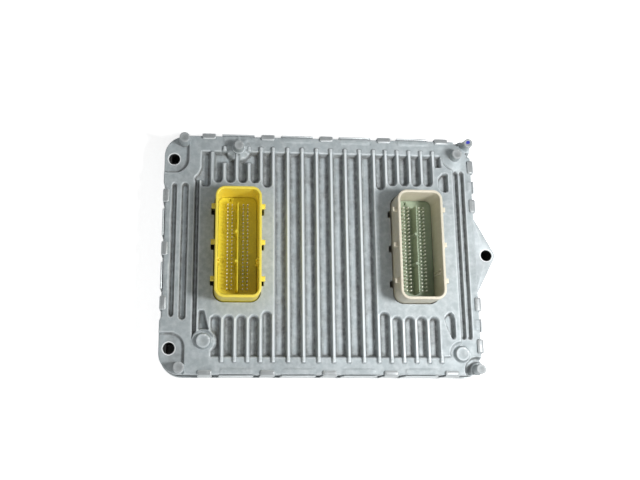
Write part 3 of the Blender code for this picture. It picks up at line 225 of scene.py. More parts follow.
class HeaderSizes(bpy.types.PropertyGroup):
    """Sizes of the plug headers and their pins."""

    collar: length("Collar", "How far the hidden collar stands out", 3.0)
    wall: length("Wall", "Thickness of the shroud's wall", 1.7)
    corner: length("Corner", "Outer corner radius", 5.8)
    rim_round: length("Rim rounding", "Radius of the rim's edges", 0.55)
    tab_pitch: length("Tab pitch", "Distance between the side tabs", 21.8)
    tab_length: length("Tab length", "Length of a side tab", 3.0)
    tab_reach: length("Tab reach", "How far a side tab stands out", 2.4)
    tab_height: length("Tab height", "Height of a side tab", 2.2)
    tab_drop: length("Tab drop", "From the rim to a side tab's top", 3.6)
    key_yellow: length("Left key", "Place of the left header's keying ribs", -10.8)
    key_grey: length("Right key", "Place of the right header's keying ribs", -16.0)
    floor: length("Floor", "From the rim down to the contact carrier", 21.0)
    pin_pitch: length("Pin pitch", "Distance between pins in a column", 2.25)
    pin_size: length("Pin size", "Width of a square pin", 0.8)
    pin_height: length("Pin height", "How far a pin stands above its carrier", 4.5)
    spine: length("Spine", "Height of the thin wall along the middle of a carrier", 10.5)


class FinishColours(bpy.types.PropertyGroup):
    """Colours of the finishes."""

    cast: colour("Cast aluminium", "Body of the lid", (0.35, 0.395, 0.41))
    # Painted shade: this colour darkens the channels' walls and floors, their concave corners and the post
    # tops
    cast_painted_shade: colour("Cast shade", "Stained walls of the channels", (0.165, 0.152, 0.14))
    # Painted highlight: a bright ring round each mounting hole
    hole_rim_highlight: colour("Hole ring", "Bright edge round a mounting hole", (0.88, 0.9, 0.91))
    # Painted shade: near black inside the mounting holes
    bore: colour("Bore", "Black inside a mounting hole", (0.012, 0.012, 0.012))
    # Random wear spots, and a painted highlight along convex edges
    cast_wear_and_highlight: colour("Cast edge", "Rubbed tops of the ribs and posts", (0.57, 0.605, 0.62))
    sheet: colour("Sheet aluminium", "The tray", (0.46, 0.49, 0.50))
    yellow: colour("Yellow plastic", "Left header", (0.98, 0.79, 0.09))
    yellow_warm: colour("Yellow flow", "Flow lines in the left header", (0.98, 0.86, 0.17))
    yellow_floor: colour("Yellow carrier", "Left contact carrier", (0.76, 0.66, 0.05))
    grey: colour("Cream plastic", "Right header", (0.72, 0.67, 0.54))
    grey_warm: colour("Cream flow", "Flow lines in the right header", (0.80, 0.76, 0.64))
    grey_floor: colour("Green-grey carrier", "Right contact carrier", (0.30, 0.37, 0.26))
    pin: colour("Tinned pin", "The contacts", (0.88, 0.88, 0.78))
    paint: colour("Paint mark", "Dot on the far right post", (0.02, 0.03, 0.42))


class StageSizes(bpy.types.PropertyGroup):
    """Camera, lamps and floor."""

    lens: bpy.props.FloatProperty(name="Lens", description="Focal length in millimetres", default=45.86)
    view_from: vector("View from", "Camera position", (-0.0668, -0.0922, 0.5107), "TRANSLATION")
    view_along: vector("View along", "Camera direction", (0.07733, 0.23981, -0.96773), "DIRECTION")
    view_up: vector("View up", "Up in the picture", (-0.01874, 0.97082, 0.23907), "DIRECTION")
    shift: bpy.props.FloatVectorProperty(name="Shift", description="Off-centre framing of the photograph",
                                         size=2, default=(0.0673, -0.0533))
    key_power: bpy.props.FloatProperty(name="Key power", description="Watts of the soft key light",
                                       default=1.45)
    fill_power: bpy.props.FloatProperty(name="Fill power", description="Watts of the fill light",
                                        default=0.95)
    ambient: share("Ambient", "Strength of the plain surrounding light", 0.13)
    floor_glow: share("Floor glow", "What the floor adds to its own light where the camera looks", 0.75)


GROUPS = {
    "ecu_lid": LidSizes,
    "ecu_tray": TraySizes,
    "ecu_header": HeaderSizes,
    "ecu_colours": FinishColours,
    "ecu_stage": StageSizes,
}


# Distances in plan: negative inside an outline, positive outside

def rounded(across, along, radius):
    """Signed distance to a rounded corner, from how far a place lies past the corner's centre each way."""
    past = np.hypot(np.maximum(across, 0), np.maximum(along, 0))
    return past + np.minimum(np.maximum(across, along), 0) - radius


def box_distance(x, y, x0, x1, y0, y1, low_round, high_round=None):
    """Signed distance to a rectangle whose low-Y and high-Y ends have their own corner radius."""
    high_round = low_round if high_round is None else high_round
    radius = np.where(y < (y0 + y1) / 2, low_round, high_round)
    across = np.abs(x - (x0 + x1) / 2) - (x1 - x0) / 2 + radius
    along = np.abs(y - (y0 + y1) / 2) - (y1 - y0) / 2 + radius
    return rounded(across, along, radius)


def disc_distance(x, y, cx, cy, radius):
    """Signed distance to a circle."""
    return np.hypot(x - cx, y - cy) - radius


def plan_distance(x, y, half_x, half_y, left, right):
    """Signed distance to a rectangle with one corner radius at its left and one at its right."""
    radius = np.where(x < 0, left, right)
    return rounded(np.abs(x) - half_x + radius, np.abs(y) - half_y + radius, radius)


def union(*distances):
    """Inside any of the outlines."""
    return np.minimum.reduce(distances)


def leaning(x, y, x0, y0, y1, corners):
    """Signed distance to a convex pocket, its corners given as offset from x0 in mm and share of y0 to y1."""
    places = np.array([(x0 + across * MM, y0 + along * (y1 - y0)) for across, along in corners])
    edges = []
    for (ax, ay), (bx, by) in zip(places, np.roll(places, -1, axis=0)):
        run = math.hypot(bx - ax, by - ay)
        edges.append(((y - ay) * (bx - ax) - (x - ax) * (by - ay)) / run)
    return np.maximum.reduce(edges)


def ramp(t, soft):
    """0 below 0 and 1 above 1, straight between, with both corners rounded over `soft` on either side."""
    def knee(s):
        """0 below the corner, s above it, and a curve between."""
        return np.where(s < -soft, 0.0, np.where(s > soft, s, (s + soft) ** 2 / (4 * soft)))
    return knee(t) - knee(t - 1.0)


def sink(z, distance, floor, draft, soft):
    """Lower a surface to a floor inside an outline, down a slope that starts at the outline."""
    return z + (floor - z) * ramp(-distance / draft, soft)


def lift(z, distance, top, draft, soft):
    """Raise a surface to a flat top inside an outline, down a slope that starts outside it."""
    return z + (top - z) * ramp(1.0 - distance / draft, soft)


def ruled(edges, steps, marks):
    """Grid lines: every mark, and from edge to edge even steps no wider than the one given for that span."""
    lines = []
    for start, stop, step in zip(edges, edges[1:], steps):
        inside = sorted({start, stop, *[m for m in marks if start < m < stop]})
        for a, b in zip(inside, inside[1:]):
            lines.append(np.linspace(a, b, max(1, math.ceil((b - a) / step)) + 1)[:-1])
    lines.append(np.array([edges[-1]]))
    return np.concatenate(lines)


def spread(marks, nearest):
    """Drop marks that lie too close to the one before them."""
    kept = []
    for mark in sorted(marks):
        if not kept or mark - kept[-1] >= nearest:
            kept.append(mark)
    return kept


# The lid's layout

class LidPlan:
    """Every outline on the lid, worked out from the sizes and the frame."""

    def __init__(self, lid):
        self.lid = lid
        self.half_x = TRAY_HIGH.x - lid.wall_gap
        self.half_y = TRAY_HIGH.y - lid.wall_gap
        self.deck = lid.band + lid.deck_rise
        self.floor = lid.band - lid.channel_depth
        self.lug_top = lid.band - lid.lug_drop
        self.lug = (-self.half_x + lid.lug_x, self.half_y - lid.lug_y)
        half_group = (GROUP_RIBS - 1) / 2 * lid.group_pitch
        left_middle = YELLOW_X + lid.left_shift
        right_middle = GREY_X + lid.right_shift
        self.left = [left_middle - half_group + i * lid.group_pitch for i in range(GROUP_RIBS)]
        self.right = [right_middle - half_group + i * lid.group_pitch for i in range(GROUP_RIBS)]
        span = self.right[0] - self.left[-1]
        gaps = round(span / lid.centre_pitch)
        self.centre = [self.left[-1] + span * i / gaps for i in range(1, gaps)]
        self.ribs = self.left + self.centre + self.right
        self.fin_post = (self.left[2] + FIN_POST[0], self.half_y - FIN_POST[1])
        self.second_post = (self.half_x - SECOND_POST[0], self.half_y - SECOND_POST[1])
        self.big_left = (-self.half_x + BIG_LEFT_POST[0], -self.half_y + BIG_LEFT_POST[1])
        self.big_right = (self.half_x - BIG_RIGHT_POST, -self.half_y + BIG_RIGHT_POST)
        self.corner_post = (self.half_x - CORNER_POSTS, self.half_y - CORNER_POSTS)
        self.left_post = (-self.half_x + LEFT_POSTS[0], self.half_y - LEFT_POSTS[1])
        self.pad_left = self.left[0] - lid.group_pitch + lid.rib_width / 2 - 0.6 * MM

    def channels(self):
        """Rectangles of all channels: x0, x1, y0, y1, radius at the low end, radius at the high end."""
        lid = self.lid
        half = lid.rib_width / 2
        end = lid.channel_end
        slots = []
        lines = [self.left[-1]] + self.centre + [self.right[0]]
        for a, b in zip(lines, lines[1:]):
            slots.append((a + half, b - half, -end, end, SQUARE_END, SQUARE_END))
        for group, outer in ((self.left, self.left[-2]), (self.right, self.right[0])):
            for a, b in zip(group, group[1:]):
                extra = LONG_REACH if a == outer else 0.0
                round_end = (b - a) / 2 - half
                slots.append((a + half, b - half, lid.pad_top - extra, end, round_end, SQUARE_END))
                slots.append((a + half, b - half, -end, lid.pad_bottom + extra, SQUARE_END, round_end))
        first = self.left[0] - lid.group_pitch
        slots.append((first + half, self.left[0] - half, lid.pad_top - LONG_REACH, end, 2.0 * MM, SQUARE_END))
        for line in (self.left[1], self.left[3]):
            width = lid.group_pitch / 2
            slots.append((line - width, line + width, end - ROOM[0], end, ROOM[1], SQUARE_END))
        short = self.right[-1] + half
        slots.append((short, short + SHORT_CHANNEL[0], end - SHORT_CHANNEL[1], end, ROOM[1], SQUARE_END))
        return slots

    def side_channels(self):
        """The plain channels along the two short sides, as rectangles with round ends."""
        slots = []
        for side, channels in ((-1, LEFT_CHANNELS), (1, RIGHT_CHANNELS)):
            for place, width, top, bottom in channels:
                x = side * (self.half_x - place * MM)
                slots.append((x - width / 2 * MM, x + width / 2 * MM, -self.half_y + bottom * MM,
                              self.half_y - top * MM))
        return slots

    def deck_distance(self, x, y):
        """Distance to the raised deck: the pads and ribs, less a round bite at each big post."""
        lid = self.lid
        inner = lid.channel_end - 1.0 * MM
        half = lid.rib_width / 2 + 0.1 * MM
        body = union(
            box_distance(x, y, self.left[1] - half - lid.group_pitch / 2, GREY_X + PAD_RIGHT, -inner, inner,
                         SQUARE_END),
            box_distance(x, y, self.pad_left, self.left[2], self.big_left[1], lid.pad_top + 1.5 * MM,
                         SQUARE_END),
            box_distance(x, y, self.left[0] - lid.group_pitch / 2, self.left[2], 0.0, inner, SQUARE_END),
        )
        for post, radius in zip((self.big_left, self.big_right, self.second_post), BITES):
            body = np.maximum(body, -disc_distance(x, y, *post, radius))
        fingers = [box_distance(x, y, line - half, line + half, -lid.rib_end, lid.rib_end, SQUARE_END)
                   for line in self.ribs[1:]]
        return union(body, *fingers)

    def lands(self, x, y):
        """Distance to the low lands along the band, one inside each standing bar of the tray."""
        outer, inner = LAND
        pieces = []
        for edge, middle, half in bars():
            start, stop = middle - (half - 1.0 * MM), middle + (half - 1.0 * MM)
            box = {
                "top": (start, stop, self.half_y - inner, self.half_y - outer),
                "bottom": (start, stop, -self.half_y + outer, -self.half_y + inner),
                "left": (-self.half_x + outer, -self.half_x + inner, start, stop),
                "right": (self.half_x - inner, self.half_x - outer, start, stop),
            }[edge]
            pieces.append(box_distance(x, y, *box, outer))
        return union(*pieces)

    def height(self, x, y):
        """The lid's top as a height over its plan.

        It starts as the flat band, is lifted to the deck, sunk at the lugs, corners and channels, and
        raised again in cones at the posts among the fins. Every slope has rounded corners.
        """
        lid, soft = self.lid, self.lid.softness
        moat = disc_distance(x, y, *self.big_left, MOAT)
        z = np.full(np.shape(x), lid.band)
        z = lift(z, self.lands(x, y), lid.band + LAND_RISE, LAND_RISE, soft)
        z = lift(z, self.deck_distance(x, y), self.deck, 0.55 * MM, soft)
        lug_x, lug_y = self.lug
        reach, corner = SEAT
        seat = box_distance(x, np.abs(y), -self.half_x - PAST, lug_x + reach, lug_y - reach,
                            self.half_y + PAST, corner)
        z = sink(z, seat, self.lug_top, 1.0 * MM, soft)
        z = sink(z, self.crescents(x, y), lid.band - CRESCENT_DROP, 1.0 * MM, soft)
        grooves = union(*[box_distance(x, y, *slot) for slot in self.channels()])
        z = sink(z, np.maximum(grooves, -moat), self.floor, lid.draft, soft)
        shallow = union(*[box_distance(x, y, *box, (box[1] - box[0]) / 2) for box in self.side_channels()])
        z = sink(z, np.maximum(shallow, -moat), self.floor, 0.8 * MM, soft)
        z = sink(z, union(self.pockets(x, y, moat), self.lug_recess(x, y)), self.floor, 0.75 * MM, soft)
        return self.cones(x, y, z)

    def crescents(self, x, y):
        """Distance to the sunk ground inside each right corner post; the corner itself stays up."""
        post_x, post_y = self.corner_post
        ground, land = CRESCENT
        kept = disc_distance(x, np.abs(y), post_x + CRESCENT_SHIFT, post_y + CRESCENT_SHIFT, land)
        return np.maximum(disc_distance(x, np.abs(y), post_x, post_y, ground), -kept)

    def pockets(self, x, y, moat):
        """The slanting pocket at the near left, the slit beside it, and the two shaped ones at the right."""
        top, bottom = self.lid.pad_top, self.lid.pad_bottom
        slant = leaning(x, y, self.left[0] - 6.75 * MM, self.big_left[1] + 5.5 * MM, bottom + 2.65 * MM,
                        SLANT_POCKET)
        slit = box_distance(x, y, self.left[0] + 0.6 * MM, self.left[0] + 2.9 * MM, bottom - 8.0 * MM,
                            bottom - 1.2 * MM, 1.1 * MM)
        far = leaning(x, y, self.right[-1] + 2.85 * MM, top - 3.5 * MM, top + 9.1 * MM, FAR_POCKET)
        near = leaning(x, y, self.right[-1] + 2.3 * MM, bottom - 13.5 * MM, bottom + 2.6 * MM, NEAR_POCKET)
        return union(np.maximum(slant, -moat), slit, far, near)

    def lug_recess(self, x, y):
        """The recess that joins the third side channel to the first of the group, round the far left lug."""
        lug_x, lug_y = self.lug
        low = self.lid.pad_top + 1.5 * MM
        room = box_distance(x, y, self.pad_left - 3.4 * MM, self.pad_left + 3.4 * MM, low, lug_y - 2.0 * MM,
                            0.6 * MM)
        return np.maximum(room, -disc_distance(x, y, lug_x, lug_y, LUG_CLEAR))

    def cones(self, x, y, z):
        """Raise the conical feet of two posts, one of them with shallow flutes, and a round land."""
        ground = self.lid.band + 0.2 * MM
        dx, dy = x - self.fin_post[0], y - self.fin_post[1]
        away = np.hypot(dx, dy)
        foot, rise, run = FIN_CONE
        fade = np.clip((away - 3.0 * MM) / (3.0 * MM), 0.0, 1.0)
        flutes = FLUTE_DEPTH * np.sin(FLUTES * np.arctan2(dy, dx)) * fade
        flank = ground + rise * np.clip((foot - away) / run, 0.0, 1.2) ** 1.3
        wall = ground - (away - foot) * 4.4
        cone = np.where(away < foot, flank, wall) + flutes
        z = np.where(z > ground + 0.4 * MM, z, np.maximum(z, cone))
        away = np.hypot(x - self.second_post[0], y - self.second_post[1])
        foot, rise, run = SECOND_CONE
        cone = ground + rise * np.clip((foot - away) / run, 0.0, 1.0) ** 1.2
        z = np.where(away < foot, np.maximum(z, cone), z)
        away = np.hypot(x - self.big_left[0], y - self.big_left[1])
        return np.where(away < MOAT, np.maximum(z, self.lid.band + 0.15 * MM), z)

    def openings(self, x, y):
        """Distance to the two header openings with their cross slots."""
        header = bpy.context.scene.ecu_header
        found = []
        for low, high in HEADERS.values():
            middle = (low.x + high.x) / 2
            half_w = (high.x - low.x) / 2 - header.collar + OPENING_GAP
            half_l = (high.y - low.y) / 2 - header.collar + OPENING_GAP
            found.append(box_distance(x, y, middle - half_w, middle + half_w, HEADER_Y - half_l,
                                      HEADER_Y + half_l, OPENING_CORNER))
            reach = half_w + SLOT_REACH
            for i in (-1, 0, 1):
                slot = HEADER_Y + i * header.tab_pitch
                found.append(box_distance(x, y, middle - reach, middle + reach, slot - SLOT_HALF,
                                          slot + SLOT_HALF, 0.4 * MM))
        return union(*found)

    def holes(self, x, y):
        """Distance to the two mounting holes in the corner lugs."""
        return disc_distance(x, np.abs(y), *self.lug, self.lid.hole_radius)

    def hole_axes(self):
        """Where the three mounting holes stand: two in the lugs, one in the ear."""
        lug_x, lug_y = self.lug
        return [(lug_x, lug_y, 0.0), (lug_x, -lug_y, 0.0), (LID_HIGH.x - EAR_TIP, 0.0, 0.0)]

    def flat_side(self, x, y):
        """Signed distance to the plain outline, which the foot follows all round."""
        return plan_distance(x, y, self.half_x, self.half_y, self.lid.corner_left, self.lid.corner_right)

    def outline(self, x, y):
        """Signed distance to the top's outline, which stands out a little round the two lugs."""
        share_along = np.clip((np.abs(y) - self.half_y + BULGE_START) / BULGE_RUN, 0.0, 1.0)
        bulge = self.lid.lug_bulge * share_along ** 2 * (3.0 - 2.0 * share_along)
        return self.flat_side(np.where(x < 0, x + bulge, x), y)

    def border(self, x, y):
        """Positive outside the top skin: past the rounded edges of the outline, openings and holes."""
        lid = self.lid
        outline = self.outline(x, y)
        return np.maximum.reduce([outline + lid.edge_round, lid.opening_round - self.openings(x, y),
                                  lid.hole_round - self.holes(x, y)])


def bars():
    """The tray's standing bars: side, middle and half length. Tabs lie on either side of each."""
    found = []
    for i in range(4):
        middle = LONG_MIDDLE * MM + (i - 1.5) * LONG_PITCH * MM
        found += [("top", middle, LONG_BAR * MM), ("bottom", middle, LONG_BAR * MM)]
    found += [("left", LEFT_MIDDLE * MM + i * LEFT_PITCH * MM, LEFT_BAR * MM) for i in (-0.5, 0.5)]
    found += [("right", place * MM, RIGHT_BAR * MM) for place in RIGHT_BARS]
    return found


def tabs():
    """The tray's crimp tabs: side and middle."""
    found = []
    for i in range(-2, 3):
        middle = LONG_MIDDLE * MM + i * LONG_PITCH * MM
        found += [("top", middle), ("bottom", middle)]
    found += [("left", LEFT_MIDDLE * MM + i * LEFT_PITCH * MM) for i in (-1, 0, 1)]
    found += [("right", place * MM) for place in RIGHT_TABS]
    return found


# Meshes from arrays

def new_piece(name, points, faces, node_names, finish, smooth_angle):
    """Put points and faces into an object at the origin that stands for its solids and rides on the frame."""
    data = bpy.data.meshes.new(name)
    data.from_pydata(points, [], faces)
    shell = bmesh.new()
    shell.from_mesh(data)
    bmesh.ops.remove_doubles(shell, verts=shell.verts, dist=0.001 * MM)
    bmesh.ops.recalc_face_normals(shell, faces=shell.faces)
    shell.to_mesh(data)
    shell.free()
    data.shade_smooth()
    data.set_sharp_from_angle(angle=math.radians(smooth_angle))
    data.materials.append(finish)
    piece = bpy.data.objects.new(name, data)
    bpy.context.scene.collection.objects.link(piece)
    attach(piece, "root")
    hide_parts(*node_names)
    return piece


class Shells:
    """Gathers closed surfaces into one list of points and faces."""

    def __init__(self):
        self.points = []
        self.faces = []
        self.count = 0

    def add(self, points, faces):
        """Take one surface, its faces counted from its own first point."""
        self.points.append(points)
        self.faces += [tuple(index + self.count for index in face) for face in faces]
        self.count += len(points)

    def rings(self, rings, loop=False):
        """Rings of equal count, an array of (ring, point, 3), closed by a loop or by a cap at each end."""
        rows, around, _ = rings.shape
        index = np.arange(rows * around).reshape(rows, around)
        if loop:
            index = np.vstack([index, index[:1]])
        a, b = index[:-1], index[1:]
        quads = np.stack([a, np.roll(a, -1, 1), np.roll(b, -1, 1), b], -1).reshape(-1, 4)
        faces = [tuple(quad) for quad in quads.tolist()]
        if not loop:
            faces += [tuple(index[0][::-1].tolist()), tuple(index[-1].tolist())]
        self.add(rings.reshape(-1, 3), faces)

    def piece(self, name, node_name, slot_name, finish, smooth_angle):
        """Make one object of all that is gathered."""
        points = np.concatenate(self.points)
        return new_piece(name, points, self.faces, [node_name], finish, smooth_angle)


def quads_of(number):
    """The quads of a grid of point numbers."""
    return np.stack([number[:-1, :-1], number[:-1, 1:], number[1:, 1:], number[1:, :-1]], -1)


def turned(cx, cy, profile, steps=48):
    """A profile of radius and height turned about an upright axis."""
    angle = np.linspace(0.0, 2 * math.pi, steps, endpoint=False)
    radius, height = np.array(profile).T
    rings = np.empty((len(profile), steps, 3))
    rings[:, :, 0] = cx + radius[:, None] * np.cos(angle)
    rings[:, :, 1] = cy + radius[:, None] * np.sin(angle)
    rings[:, :, 2] = height[:, None]
    return rings


def arc(start, stop, radius, steps=4):
    """Offsets along an arc, from start to stop degrees."""
    angle = np.radians(np.linspace(start, stop, steps + 1))
    return list(zip(radius * np.cos(angle), radius * np.sin(angle)))


def corners(half_w, half_l, radii, steps):
    """Points and outward normals at a rectangle's four corners, anticlockwise from the near right one."""
    points, normals = [], []
    signs = ((1, -1), (1, 1), (-1, 1), (-1, -1))
    for (sx, sy), start, radius in zip(signs, (-90.0, 0.0, 90.0, 180.0), radii):
        normal = np.array(arc(start, start + 90.0, 1.0, steps))
        points.append(np.array([sx * (half_w - radius), sy * (half_l - radius)]) + radius * normal)
        normals.append(normal)
    return points, normals


def oblong(half_w, half_l, corner, steps, straight):
    """Points and outward normals round a rectangle with round corners, middle at the origin."""
    points, normals = corners(half_w, half_l, [corner] * 4, steps)
    joined_points, joined_normals = [], []
    for i in range(4):
        here, there = points[i], points[(i + 1) % 4]
        share_along = np.linspace(0.0, 1.0, straight + 1)[1:-1, None]
        joined_points += [here, here[-1] + (there[0] - here[-1]) * share_along]
        joined_normals += [normals[i], np.repeat(normals[i][-1:], straight - 1, 0)]
    return np.concatenate(joined_points), np.concatenate(joined_normals)


def carried(points, normals, section):
    """A section of outward offsets and heights carried round a closed path."""
    offset, height = np.array(section).T
    rings = np.empty((len(section), len(points), 3))
    rings[:, :, :2] = points[None] + offset[:, None, None] * normals[None]
    rings[:, :, 2] = height[:, None]
    return rings


# Finishes

def add_node(tree, kind, output, sockets, **settings):
    """Add a node, feed its sockets with values or with other nodes' outputs, and return one output."""
    node = tree.nodes.new(f"ShaderNode{kind}")
    for name, value in settings.items():
        setattr(node, name, value)
    for name, value in sockets.items():
        if isinstance(value, bpy.types.NodeSocket):
            tree.links.new(value, node.inputs[name])
        else:
            node.inputs[name].default_value = value
    return node.outputs[output]


class Finish:
    """Builds one procedural material, node by node."""

    def __init__(self, name, base, roughness, metallic=0.0):
        self.material = bpy.data.materials.new(name)
        self.material.use_nodes = True
        self.tree = self.material.node_tree
        self.inputs = self.tree.nodes["Principled BSDF"].inputs
        self.inputs["Base Color"].default_value = (*base, 1.0)
        self.inputs["Roughness"].default_value = roughness
        self.inputs["Metallic"].default_value = metallic
        self.place = self.node("TexCoord", "Object", {})

    def node(self, kind, output, sockets, **settings):
        """Add a node to this material."""
        return add_node(self.tree, kind, output, sockets, **settings)

    def feed(self, name, output):
        """Use an output for one input of the shader."""
        self.tree.links.new(output, self.inputs[name])

    def stretched(self, scale):
        """Object coordinates with their own scale along each axis."""
        return self.node("Mapping", "Vector", {"Vector": self.place, "Scale": scale})

    def noise(self, scale, detail=3.0, roughness=0.5, vector=None):
        """Fractal noise, one value."""
        return self.node("TexNoise", "Fac", {"Vector": vector or self.place, "Scale": scale,
                                             "Detail": detail, "Roughness": roughness})

    def away(self, centre):
        """Distance to the upright line through a place on the mounting plane."""
        flat = self.stretched((1.0, 1.0, 0.0))
        return self.node("VectorMath", "Value", {0: flat, 1: centre}, operation="DISTANCE")

    def axis(self, name):
        """One coordinate of the place."""
        return self.node("SeparateXYZ", name, {"Vector": self.place})

    def pointiness(self):
        """Above a half on edges, below it in corners."""
        return self.node("NewGeometry", "Pointiness", {})

    def levelness(self):
        """1 where the surface faces up, 0 on an upright wall."""
        return self.node("SeparateXYZ", "Z", {"Vector": self.node("NewGeometry", "Normal", {})})

    def between(self, value, low, high, to_low=0.0, to_high=1.0):
        """Map a value from one range to another, held at the ends."""
        return self.node("MapRange", "Result", {"Value": value, "From Min": low, "From Max": high,
                                                "To Min": to_low, "To Max": to_high})

    def times(self, a, b):
        """Two values multiplied."""
        return self.node("Math", "Value", {0: a, 1: b}, operation="MULTIPLY")

    def plus(self, a, b):
        """Two values added."""
        return self.node("Math", "Value", {0: a, 1: b}, operation="ADD")

    def blend(self, factor, a, b):
        """From colour a to colour b by a factor; either may be a plain colour."""
        a, b = (value if isinstance(value, bpy.types.NodeSocket) else (*value, 1.0) for value in (a, b))
        return self.node("Mix", 2, {"Factor": factor, 6: a, 7: b}, data_type="RGBA")

    def bump(self, height, strength, distance):
        """Give the shader a bump from a height."""
        self.feed("Normal", self.node("Bump", "Normal", {"Height": height, "Strength": strength,
                                                         "Distance": distance}))


def darker(value, factor):
    """A colour with its light scaled."""
    return tuple(channel * factor for channel in value)


def cast_finish():
    """Die-cast aluminium: cloudy grey with wear spots, streaked floors painted lighter, painted shade in the
    channels, corners and on the post tops, painted highlights on edges and round the holes, a fine grain, and
    painted black shade inside the holes.
    """
    colours = bpy.context.scene.ecu_colours
    lid = bpy.context.scene.ecu_lid
    plan = LidPlan(lid)
    finish = Finish("cast_aluminium", colours.cast, 0.6, 0.18)
    height = finish.axis("Z")
    clouds = finish.between(finish.noise(55.0, 4.0, 0.55), 0.32, 0.68)
    body = finish.blend(clouds, darker(colours.cast, 0.88), darker(colours.cast, 1.12))
    # Casting streaks on the channel floors, which are also painted lighter than the body: painted light
    streaks = finish.between(finish.noise(1.0, 3.0, 0.6, finish.stretched((620.0, 45.0, 200.0))), 0.3, 0.7)
    floor = finish.blend(streaks, darker(colours.cast, 0.92), darker(colours.cast, 1.38))
    deep = finish.between(height, lid.band - 2.4 * MM, lid.band - lid.channel_depth)
    body = finish.blend(deep, body, floor)
    outer_band, inner_band = 1.5 * MM, 2.5 * MM
    inner = finish.times(*[
        finish.between(finish.times(place, place), (half - outer_band) ** 2, (half - inner_band) ** 2)
        for place, half in ((finish.axis("X"), plan.half_x), (finish.axis("Y"), plan.half_y))])
    sunk = finish.times(inner, finish.between(height, lid.band - 0.1 * MM, lid.band - 1.4 * MM))
    # Painted shade: blotchy darkening of the sunk channels
    blotchy_channel_shade = finish.times(sunk, finish.between(finish.noise(120.0, 3.0), 0.45, 0.8, 0.0, 0.5))
    body = finish.blend(blotchy_channel_shade, body, colours.cast_painted_shade)
    # Painted shade: the upright walls of the channels are darkened
    walls = finish.times(sunk, finish.between(finish.levelness(), 0.8, 0.3, 0.0, 0.62))
    body = finish.blend(walls, body, colours.cast_painted_shade)
    # Painted shade: concave corners are darkened
    painted_crevice_shade = finish.between(finish.pointiness(), 0.49, 0.44, 0.0, 0.65)
    body = finish.blend(painted_crevice_shade, body, darker(colours.cast_painted_shade, 0.5))
    worn = finish.between(finish.noise(300.0, 4.0, 0.6), 0.4, 0.7, 0.0, 0.5)
    body = finish.blend(worn, body, colours.cast_wear_and_highlight)
    # Painted highlight: convex edges are lightened
    edge_highlight = finish.between(finish.pointiness(), 0.512, 0.57, 0.0, 0.8)
    body = finish.blend(edge_highlight, body, darker(colours.cast_wear_and_highlight, 1.4))
    tops = lid.band + lid.post_top
    # Painted shade: the post tops are darkened
    painted_post_top_shade = finish.between(height, tops - 0.3 * MM, tops - 0.14 * MM, 0.0, 0.35)
    body = finish.blend(painted_post_top_shade, body, colours.cast_painted_shade)
    # Painted shade: each hole's inside, below the lug tops, is painted near black
    inside = finish.between(height, plan.lug_top - 0.5 * MM, plan.lug_top - 0.8 * MM)
    for centre in plan.hole_axes():
        away = finish.away(centre)
        bore = finish.between(away, lid.hole_radius + 0.1 * MM, lid.hole_radius + 0.25 * MM, 1.0, 0.0)
        # Painted highlight: a ring just outside each hole's edge is lightened
        rise = finish.between(away, lid.hole_radius + 0.15 * MM, lid.hole_radius + 0.3 * MM)
        fall = finish.between(away, lid.hole_radius + 0.65 * MM, lid.hole_radius + 0.85 * MM, 0.85, 0.0)
        body = finish.blend(finish.times(rise, fall), body, colours.hole_rim_highlight)
        body = finish.blend(finish.times(bore, inside), body, colours.bore)
    finish.feed("Base Color", body)
    finish.feed("Roughness", finish.between(finish.noise(210.0, 3.0), 0.25, 0.75, 0.54, 0.68))
    grain = finish.plus(finish.noise(2600.0, 2.0), finish.times(finish.noise(420.0, 3.0), 1.6))
    finish.bump(grain, 0.3, 0.05 * MM)
    return finish.material


def cast_material():
    """The finish that the cast lid already wears."""
    return bpy.data.objects["cast_lid"].data.materials[0]


def sheet_finish():
    """Rolled aluminium sheet: brighter than the casting, with fine lines, a few scuffs, a painted dark
    reflection on the tab tops and painted highlights on its edges.
    """
    colours = bpy.context.scene.ecu_colours
    finish = Finish("pressed_aluminium", colours.sheet, 0.34, 0.35)
    top = bpy.context.scene.ecu_lid.band + 1.5 * MM
    lines = finish.noise(1.0, 2.0, 0.5, finish.stretched((90.0, 2400.0, 900.0)))
    scuffs = finish.between(finish.noise(140.0, 5.0, 0.65), 0.55, 0.8)
    drawn = finish.between(lines, 0.3, 0.7)
    body = finish.blend(drawn, darker(colours.sheet, 0.88), darker(colours.sheet, 1.1))
    # Painted reflection: the flat tops of the folded tabs are darkened, as a dark mirror image
    pressed = finish.between(finish.axis("Z"), top - 0.25 * MM, top - 0.05 * MM, 0.0, 0.8)
    body = finish.blend(pressed, body, darker(colours.sheet, 0.5))
    body = finish.blend(finish.times(scuffs, 0.6), body, darker(colours.sheet, 1.4))
    # Painted highlight: the sheet's convex edges are lightened
    edge_highlight = finish.between(finish.pointiness(), 0.53, 0.6, 0.0, 0.35)
    finish.feed("Base Color", finish.blend(edge_highlight, body, darker(colours.sheet, 1.7)))
    finish.feed("Roughness", finish.between(finish.noise(260.0, 3.0), 0.3, 0.7, 0.36, 0.54))
    finish.bump(lines, 0.12, 0.03 * MM)
    return finish.material


